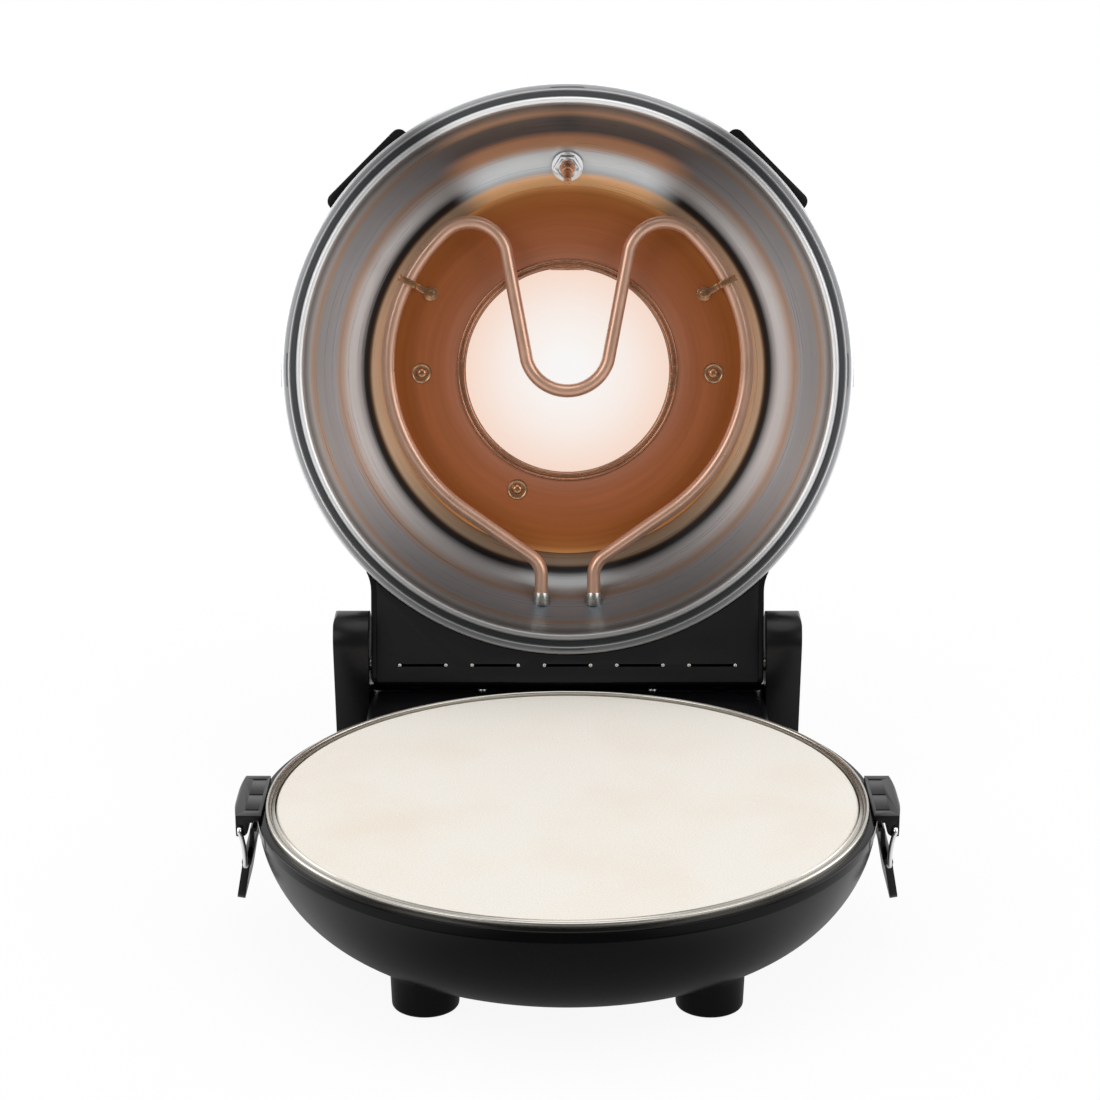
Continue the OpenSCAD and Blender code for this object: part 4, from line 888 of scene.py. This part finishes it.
class PIZZAMAKER_OT_stage(bpy.types.Operator):
    """Camera, floor, background and soft lamps"""

    bl_idname = "pizza_maker.stage"
    bl_label = "Stage"

    def execute(self, context):
        scene = context.scene
        camera = bpy.data.objects.new("Camera", bpy.data.cameras.new("Camera"))
        scene.collection.objects.link(camera)
        camera.location = bowl_axis + Vector(CAMERA_FROM)
        camera.rotation_euler = (math.radians(CAMERA_PITCH), 0, 0)
        camera.data.lens, camera.data.shift_x = LENS_MM, SHIFT_X
        scene.camera = camera
        scene.view_settings.view_transform = "Standard"

        reach = 8.0
        corners = [(-reach, -reach, 0), (reach, -reach, 0), (reach, reach, 0), (-reach, reach, 0)]
        floor = mesh_piece("Floor", corners, [(0, 1, 2, 3)])
        floor.data.materials.append(self.floor_finish(scene))
        self.background(scene)
        for name, values in LAMPS.items():
            self.lamp(name, *values)
        return {"FINISHED"}

    def floor_finish(self, scene):
        """Seamless paper: seen as white, though it still takes the object's shadow near it, and
        darker where the object mirrors its front part."""
        made, tree, place = new_finish("Seamless paper")
        away = add(tree, "ShaderNodeVectorMath", (place,), "Value", operation="LENGTH")
        limits = (away, 0.25, 0.7, 0.92, 1.0)
        white_share = add(tree, "ShaderNodeMapRange", limits, interpolation_type="SMOOTHSTEP")
        mirrored = self.mirrored(tree, place, (-0.1, 0.7), (0.08, 0.26))
        camera_ray = add(tree, "ShaderNodeLightPath", out="Is Camera Ray")
        strength = add(tree, "ShaderNodeMix", {0: camera_ray, 2: mirrored, 3: 1.0})
        shares = (self.seen_or_mirrored(tree), white_share)
        share = add(tree, "ShaderNodeMath", shares, operation="MULTIPLY")
        lit = add(tree, "ShaderNodeBsdfDiffuse", {"Color": tuple(scene.pizza_colours.floor)})
        glow = {"Color": (1, 1, 1, 1), "Strength": strength}
        white = add(tree, "ShaderNodeEmission", glow)
        return end_finish(made, "ShaderNodeMixShader", (share, lit, white))

    def seen_or_mirrored(self, tree):
        """One for camera, glossy and transmitted rays, and nought for the rest."""
        path = add(tree, "ShaderNodeLightPath", out=None).outputs
        rays = (path["Is Glossy Ray"], path["Is Transmission Ray"])
        bent = add(tree, "ShaderNodeMath", rays, operation="MAXIMUM")
        return add(tree, "ShaderNodeMath", (path["Is Camera Ray"], bent), operation="MAXIMUM")

    def mirrored(self, tree, place, depth, width):
        """The studio as metal shows it: grey in front of the object, and white behind it and
        aside, with the change between two depths and between two distances from the middle."""
        parts = add(tree, "ShaderNodeSeparateXYZ", (place,), None).outputs
        across = add(tree, "ShaderNodeMath", (parts["X"],), operation="ABSOLUTE")
        tones = [
            add(tree, "ShaderNodeMapRange", (*limits, FRONT_GREY, 1.0), interpolation_type="SMOOTHSTEP")
            for limits in ((parts["Y"], *depth), (across, *width))
        ]
        return add(tree, "ShaderNodeMath", tones, operation="MAXIMUM")

    def background(self, scene):
        world = bpy.data.worlds.new("Studio")
        scene.world = world
        world.use_nodes = True
        tree = world.node_tree
        tree.nodes.clear()
        way = add(tree, "ShaderNodeTexCoord", out="Generated")
        studio = self.mirrored(tree, way, (-0.35, 0.25), (0.82, 1.0))
        lit = add(tree, "ShaderNodeMix", {0: self.seen_or_mirrored(tree), 2: AMBIENT, 3: studio})
        camera_ray = add(tree, "ShaderNodeLightPath", out="Is Camera Ray")
        strength = add(tree, "ShaderNodeMix", {0: camera_ray, 2: lit, 3: 1.0})
        light = add(tree, "ShaderNodeBackground", {"Color": (1, 1, 1, 1), "Strength": strength})
        add(tree, "ShaderNodeOutputWorld", {"Surface": light}, None)

    def lamp(self, name, place, size, power):
        """A round soft lamp that looks at the middle of the object."""
        data = bpy.data.lights.new(name, "AREA")
        data.shape, data.size, data.energy = "DISK", size, power
        lamp = bpy.data.objects.new(name, data)
        bpy.context.scene.collection.objects.link(lamp)
        lamp.location = place
        middle = Vector((0, 0, 0.18))
        lamp.rotation_euler = (middle - Vector(place)).to_track_quat("-Z", "Y").to_euler()


class PIZZAMAKER_OT_stone(bpy.types.Operator):
    """Baking stone, rim ring, reflector pan and lower heater"""

    bl_idname = "pizza_maker.stone"
    bl_label = "Stone and ring"

    def execute(self, context):
        base = context.scene.pizza_base
        r, top, edge_r, chamfer = base.stone_r / MM, 81.0, 1.6, 1
        low = top - base.stone_t / MM
        edge = [(0, low), (r - chamfer, low), (r, low + chamfer)]
        edge += arc(r - edge_r, top - edge_r, edge_r, 0, 90, 10)
        stone = turned("Baking_stone", edge + [(0, top)], ON_BASE)
        keep(stone, "stone", "stone", "Cordierite stone", "pizza_stone")

        inner, outer, lip, high = base.ring_in / MM, base.ring_out / MM, 1.3, 82.0
        section = (
            [(inner, high - 3.4), (outer, high - 3.4)]
            + arc(outer - lip, high - lip, lip, 0, 180, 20)
            + [(outer - 2 * lip, high - 1.9), (outer - 2 * lip - 0.4, high - 2.0)]
            + [(inner + 1.3, high - 1.5), (inner + 0.6, high - 1.1), (inner, high - 0.5)]
        )
        ring = turned("Rim_ring", section, ON_BASE)
        keep(ring, "base", "ring_steel", "Pressed ring steel", "rim_ring")

        section = [
            (160.5, 77.8), (156.5, 77.8), (156.5, 67.9), (144.3, 67.9), (138.3, 36.7), (0, 36.7),
            (0, 37.5), (137.2, 37.5), (138.2, 38.6), (143.2, 68.2), (144.3, 68.7), (155.7, 68.7),
            (155.7, 78.6), (160.5, 78.6),
        ]
        pan = turned("Reflector_pan", section, ON_BASE, sharp=50)
        keep(pan, "base", "stainless", "Pressed ring steel", "base_pan")

        finish, width = "Oxidised heater tube", context.scene.pizza_lid.tube_d
        tube = bent_tube("Lower_heater_tube", lower_heater_path(), ON_BASE, width, 24, finish)
        keep(tube, "base", "dark_heater", finish, "lower_heater")
        smooth_solid("heater_supports", "base", "stainless", "Plated screw steel", 0.3)
        return {"FINISHED"}


class PIZZAMAKER_OT_bowl(bpy.types.Operator):
    """Bowl shell of the base, with its rim band"""

    bl_idname = "pizza_maker.bowl"
    bl_label = "Bowl"

    def execute(self, context):
        base = context.scene.pizza_base
        bottom, low = base.bowl_bottom_r / MM, base.bowl_clear / MM
        rim, band, rim_top = base.rim_r / MM, base.rim_band / MM, 79.0
        ring_out, wall, hole, flank = base.ring_out / MM + 0.1, 3.0, 79, rim - 0.8
        seat_r, seat_low, seat_high = 157.3, 74.8, 77.8
        top = rim_top - band
        inside = bowl_flank(bottom - 1, flank - wall, low + wall, top - wall, 40)
        section = (
            [(hole, low)]
            + bowl_flank(bottom, flank, low, top)
            + [(rim - 0.7, top + 0.5), (rim, top + 1.0)]
            + arc(rim - 1, rim_top - 1, 1, 0, 90, 6)
            + [(ring_out, rim_top), (ring_out, seat_high), (seat_r, seat_high), (seat_r, seat_low)]
            + inside[::-1]
            + [(hole, low + wall)]
        )
        bowl = turned("Bowl_shell", section, ON_BASE)
        keep(bowl, "base", "black_plastic", "Black ABS with polished rim", "base_shell")
        return {"FINISHED"}


class PIZZAMAKER_OT_feet(bpy.types.Operator):
    """Feet, rubber pads, bottom cover and their screws"""

    bl_idname = "pizza_maker.feet"
    bl_label = "Feet and bottom"

    def execute(self, context):
        for name in ("front_left", "front_right", "rear_left", "rear_right"):
            smooth_solid("foot_" + name, "base", "black_plastic", "Moulded black ABS", 0.4)
        smooth_solid("foot_pads", "base", "rubber", "Moulded rubber", 0.3)
        smooth_solid("base_cover", "base", "cover_sheet", "Enamelled cover sheet", 0.2)
        circle_r, cover_z = 81, 14
        turns = [math.radians(45 + 90 * i) for i in range(4)]
        cover = [(circle_r * math.cos(a), circle_r * math.sin(a), cover_z) for a in turns]
        feet = [(x, y, 7.4) for x in (-73, 73) for y in (-85, 85)]
        self.screws("Cover_screws", cover, cross_head(2.8, 1.6), 3, "cover_screws")
        self.screws("Foot_screws", feet, cross_head(3.6, 2.4), 5, "foot_screws")
        return {"FINISHED"}

    def screws(self, name, places, head, seed, node):
        """Screws of one size under the base, each head at a turn of its own."""
        finish = "Plated screw steel"
        heads = copies(name, places, ON_BASE, head, (0, 0, -1), seed, finish)
        keep(heads, "base", "screw_steel", finish, node)


class PIZZAMAKER_OT_latches(bpy.types.Operator):
    """Side grips with their latch wires and levers"""

    bl_idname = "pizza_maker.latches"
    bl_label = "Grips and latches"

    def execute(self, context):
        finish, width = "Bright drawn wire", context.scene.pizza_base.wire_d
        for name, side in (("left", LEFT), ("right", RIGHT)):
            smooth_solid("grip_" + name, "base", "black_plastic", "Moulded black ABS", 0.4)
            wire = bent_tube("Latch_wire_" + name, wire_path(side), ON_BASE, width, 16, finish)
            keep(wire, "wire_" + name, "bright_wire", finish, "wire_" + name)
            smooth_solid("lever_" + name, "lever_" + name, "black_plastic", "Moulded black ABS", 0.4)
        return {"FINISHED"}


class PIZZAMAKER_OT_rear(bpy.types.Operator):
    """Rear housing, hinge towers, pins, stops and cord gland"""

    bl_idname = "pizza_maker.rear"
    bl_label = "Rear housing"

    def execute(self, context):
        smooth_solid("rear_housing", "base", "black_plastic", "Moulded black ABS", 0.8)
        for name in ("left", "right"):
            smooth_solid("tower_" + name, "base", "black_plastic", "Moulded black ABS", 0.5)
        smooth_solid("cord_gland", "base", "rubber", "Moulded rubber", 0.5)
        smooth_solid("stop_pads", "base", "rubber", "Moulded rubber", 0.5)
        smooth_solid("housing_screws", "base", "screw_steel", "Bright drawn wire", 0.3)
        # low rib on the housing's slope that closes the view under the open lid's arm
        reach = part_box("tower_right")[0].x / MM
        front, thick, low, high = hinge.y / MM + 7.5, 3, 74, 77.8
        rib = block("Housing_rib", (-reach, front, low), (reach, front + thick, high), 0.4)
        keep(rib, "base", "black_plastic", "Moulded black ABS")
        dress("Plated screw steel", "hinge_pin_left", "hinge_pin_right")
        dress("Steatite ceramic", "terminal_block")
        return {"FINISHED"}


class PIZZAMAKER_OT_liner(bpy.types.Operator):
    """Spun liner, heat-tinted ceiling, rivets and window"""

    bl_idname = "pizza_maker.liner"
    bl_label = "Liner and window"

    def execute(self, context):
        lid = context.scene.pizza_lid
        lip, lip_in = lid.lip_r / MM, (lid.lip_r - lid.lip_w) / MM
        bead = lid.bead_r / MM
        wall = lip_in - lid.groove_w / MM - 2 * bead
        ceiling, height, sheet = lid.ceiling_r / MM, lid.ceiling_h / MM, 1.2
        hole = lid.window_r / MM + 1
        low, fold, inner_fold, groove, back = bead + 2, 1.6, 1.4, 2.6, 4.4
        inside = quarter_dome(ceiling, wall - ceiling, low, height - low)
        outside = quarter_dome(ceiling, wall + sheet - ceiling, low, height + sheet - low)
        section = (
            arc(lip - fold, fold, fold, 0, -90, 8)
            + arc(lip_in + inner_fold, inner_fold, inner_fold, -90, -180, 8)
            + [(lip_in, groove), (wall + 2 * bead, groove)]
            + arc(wall + bead, bead, bead, 0, -180, 16)
            + inside
            + [(hole, height), (hole, height + sheet)]
            + outside[::-1]
            + [(wall + sheet, groove + sheet), (lip_in + 0.2, groove + sheet)]
            + [(lip_in + 0.2, back), (lip, back)]
        )
        liner = turned("Spun_liner", section, ON_LID)
        self.cut_slots(liner, lip - 2.95)
        keep(liner, "lid", "stainless", "Spun stainless liner", "lid_liner")

        edge, under = ceiling - 0.5, height - 0.8
        section = [(hole, under), (edge - 0.1, under), (edge, under + 0.1), (edge, height), (hole, height)]
        plate = turned("Ceiling_plate", section, ON_LID)
        keep(plate, "lid", "tinted_plate", "Heat-tinted sheet", "ceiling_plate")

        self.rivets()
        smooth_solid("window_frame", "lid", "tinted_plate", "Tinted frame steel", 0.3)
        pane_r, low, high, chamfer = 70, 75.2, 79.2, 0.3
        section = [
            (0, low), (pane_r - chamfer, low), (pane_r, low + chamfer),
            (pane_r, high - chamfer), (pane_r - chamfer, high), (0, high),
        ]
        pane = turned("Window_pane", section, ON_LID)
        keep(pane, "lid", "window_glass", "Toughened glass", "window_glass")
        return {"FINISHED"}

    def cut_slots(self, liner, slot_r):
        """Four narrow slots in the lip, one at each quarter."""
        half, width, deep = 9.7 / slot_r, 0.45, 1.2
        slots = []
        for quarter in range(4):
            turn = [quarter * math.pi / 2 + half * (i / 8 - 1) for i in range(17)]
            sides = (slot_r - width, slot_r + width)
            ring = [(r * math.cos(a), r * math.sin(a)) for r in sides for a in turn]
            points = [(x * MM, y * MM, z * MM) for z in (-1, deep) for x, y in ring]
            n = len(turn)
            faces = []
            for i in range(n - 1):
                a, b, c, d = i, i + 1, n + i + 1, n + i
                m = 2 * n
                faces += [(a, b, c, d), (m + a, m + d, m + c, m + b)]
                faces += [(a, m + a, m + b, b), (d, c, m + c, m + d)]
            faces += [(0, n, 3 * n, 2 * n), (n - 1, 3 * n - 1, 4 * n - 1, 2 * n - 1)]
            slots.append(mesh_piece("slot", points, faces, ON_LID))
        cut(liner, join("slots", slots))
        soften(liner.data, SHARP)

    def rivets(self):
        """Three rivets on the ceiling, each a dome on a flat ring."""
        section = [
            (0, -1.0), (6.0, -1.0), (6.4, -0.7), (6.4, 0), (6.0, 0.4), (5.4, 0.5), (4.9, 0.25),
            (3.3, 0.3), (3.1, 1.0), (2.6, 1.7), (1.6, 2.1), (0, 2.25),
        ]
        places = [(x, y, 73.2) for x, y in ((-88.3, 2), (88.3, 2), (-30.5, 72.3))]
        finish, rivet = "Tinted rivet steel", turned("rivet", section, steps=32)
        rivets = copies("Ceiling_rivets", places, ON_LID, rivet, -lid_axis, 1, finish)
        keep(rivets, "lid", "stainless", finish, "ceiling_rivets")


class PIZZAMAKER_OT_upper_heater(bpy.types.Operator):
    """Upper heater tube with its bushes and clips, and the temperature probe"""

    bl_idname = "pizza_maker.upper_heater"
    bl_label = "Upper heater"

    def execute(self, context):
        lid = context.scene.pizza_lid
        finish, path = "Annealed heater tube", upper_heater_path(lid)
        tube = bent_tube("Upper_heater_tube", path, ON_LID, lid.tube_d, 28, finish)
        keep(tube, "lid", "heater_tube", finish, "upper_heater")
        smooth_solid("heater_bushes", "lid", "stainless", "Plated screw steel", 0.4)
        smooth_solid("heater_clips", "lid", "stainless", "Tinted rivet steel", 0.2)
        # the probe's warm copper tint is partly heat tint and partly a painted reflection of the orange
        # ceiling
        smooth_solid("temperature_probe", "lid", "stainless", "Tinted frame steel", 0.4)
        smooth_solid("probe_nut", "lid", "stainless", "Bright drawn wire", 0.4)
        return {"FINISHED"}


class PIZZAMAKER_OT_lid(bpy.types.Operator):
    """Lid shell, window bezel, handle and catches"""

    bl_idname = "pizza_maker.lid"
    bl_label = "Lid shell"

    def execute(self, context):
        smooth_solid("lid_shell", "lid", "black_plastic", "Moulded black ABS", 0.8)
        smooth_solid("window_bezel", "lid", "dark_plastic", "Moulded dark nylon", 0.5)
        smooth_solid("front_handle", "lid", "black_plastic", "Moulded black ABS", 1.0)
        for name in ("left", "right"):
            smooth_solid("catch_" + name, "lid", "stainless", "Plated screw steel", 0.3)
        dress("Turned brass", "hinge_bush_left", "hinge_bush_right")
        return {"FINISHED"}


class PIZZAMAKER_OT_arm(bpy.types.Operator):
    """Slotted cover under the arm, with its small rivets"""

    bl_idname = "pizza_maker.arm"
    bl_label = "Arm cover"

    def execute(self, context):
        smooth_solid("arm_cover", "lid", "dark_plastic", "Moulded dark nylon", 0.2)
        section = [(0, -1), (1.0, -1), (1.0, 0.15), (0.7, 0.4), (0, 0.5)]
        pitch, half, under = 42.3, 13.5, 1.4
        ends = [
            (pitch * i + side * half, hinge_behind_mm, under)
            for i in range(-2, 3)
            for side in (LEFT, RIGHT)
        ]
        finish, pin = "Plated screw steel", turned("pin", section, steps=16)
        rivets = copies("Arm_cover_rivets", ends, ON_LID, pin, -lid_axis, 2, finish)
        keep(rivets, "lid", "screw_steel", finish)
        return {"FINISHED"}


class PIZZAMAKER_OT_controls(bpy.types.Operator):
    """Knobs with their ribs, dial marks and indicator lamps"""

    bl_idname = "pizza_maker.controls"
    bl_label = "Controls"

    def execute(self, context):
        for name in ("thermostat", "timer"):
            self.knob(name, self.on_arm(name + "_turn"))
        smooth_solid("lamp_power", "lid", "red_lens", "Red acrylic", 0.2)
        smooth_solid("lamp_heat", "lid", "green_lens", "Green acrylic", 0.2)
        dress("Steatite ceramic", "thermostat_body")
        dress("Moulded dark nylon", "timer_body")
        return {"FINISHED"}

    def on_arm(self, turn):
        """The arm's sloping top face under a knob, with +Z along the knob's axis."""
        out = -Vector(joint(turn)["axis"])
        lean = Matrix.Rotation(math.atan2(-out.y, out.z), 4, "X")
        return Matrix.Translation(joint_place(turn)) @ lean

    def knob(self, name, place):
        """A ribbed cap with a printed pointer, and printed marks on the arm round it."""
        body, title = name + "_knob", name.capitalize()
        finish, paint = "Moulded dark nylon", "White print"
        section = [
            (0, -14.5), (3, -14.5), (3, 1), (16.6, 1), (17, 1.4), (17, 2.9), (16.5, 3.4), (14.4, 3.7),
            (14.1, 13.4), (13.6, 14.5), (12.6, 15), (0, 14.7),
        ]
        core = turned("knob", section, steps=96)
        rib = block("rib", (-0.8, -0.9, 3.4), (0.75, 0.9, 13.6), 0.35)
        ribs = round_copies("ribs", rib, finish, count=24, radius_mm=14.2, start=0, step=15)
        whole = join(body.capitalize(), [core, ribs])
        whole.data.transform(place)
        keep(whole, body, "dark_plastic", finish, body)
        pointer = block(title + "_pointer", (-0.8, -13, 14.6), (0.8, -4, 15.0), 0.15, place)
        keep(pointer, body, "dark_plastic", paint)
        tick = block("tick", (-0.9, -0.3, -0.1), (0.9, 0.3, 0.06), 0.04)
        marks = round_copies(
            title + "_dial_marks", tick, paint, place, count=11, radius_mm=20.5, start=-225, step=27
        )
        keep(marks, "lid", "dark_plastic", paint)


PIECES = (
    PIZZAMAKER_OT_stage,
    PIZZAMAKER_OT_stone,
    PIZZAMAKER_OT_bowl,
    PIZZAMAKER_OT_feet,
    PIZZAMAKER_OT_latches,
    PIZZAMAKER_OT_rear,
    PIZZAMAKER_OT_liner,
    PIZZAMAKER_OT_upper_heater,
    PIZZAMAKER_OT_lid,
    PIZZAMAKER_OT_arm,
    PIZZAMAKER_OT_controls,
)


class PIZZAMAKER_PT_panel(bpy.types.Panel):
    """Lists the sizes, the colours and the pieces."""

    bl_idname = "PIZZAMAKER_PT_panel"
    bl_label = "Pizza Maker"
    bl_space_type = "VIEW_3D"
    bl_region_type = "UI"
    bl_category = "Pizza Maker"

    def draw(self, context):
        for group in (context.scene.pizza_base, context.scene.pizza_lid, context.scene.pizza_colours):
            column = self.layout.box().column()
            for name in group.bl_rna.properties.keys():
                if name not in ("rna_type", "name"):
                    column.prop(group, name)
        for piece in PIECES:
            self.layout.operator(piece.bl_idname)


CLASSES = (PIZZAMAKER_PG_base, PIZZAMAKER_PG_lid, PIZZAMAKER_PG_colours, *PIECES, PIZZAMAKER_PT_panel)


def register():
    for cls in CLASSES:
        bpy.utils.register_class(cls)
    bpy.types.Scene.pizza_base = PointerProperty(type=PIZZAMAKER_PG_base)
    bpy.types.Scene.pizza_lid = PointerProperty(type=PIZZAMAKER_PG_lid)
    bpy.types.Scene.pizza_colours = PointerProperty(type=PIZZAMAKER_PG_colours)


def unregister():
    del bpy.types.Scene.pizza_base
    del bpy.types.Scene.pizza_lid
    del bpy.types.Scene.pizza_colours
    for cls in reversed(CLASSES):
        bpy.utils.unregister_class(cls)


def main():
    register()
    for piece in PIECES:
        group, name = piece.bl_idname.split(".")
        getattr(getattr(bpy.ops, group), name)()


if __name__ == "__main__":
    main()
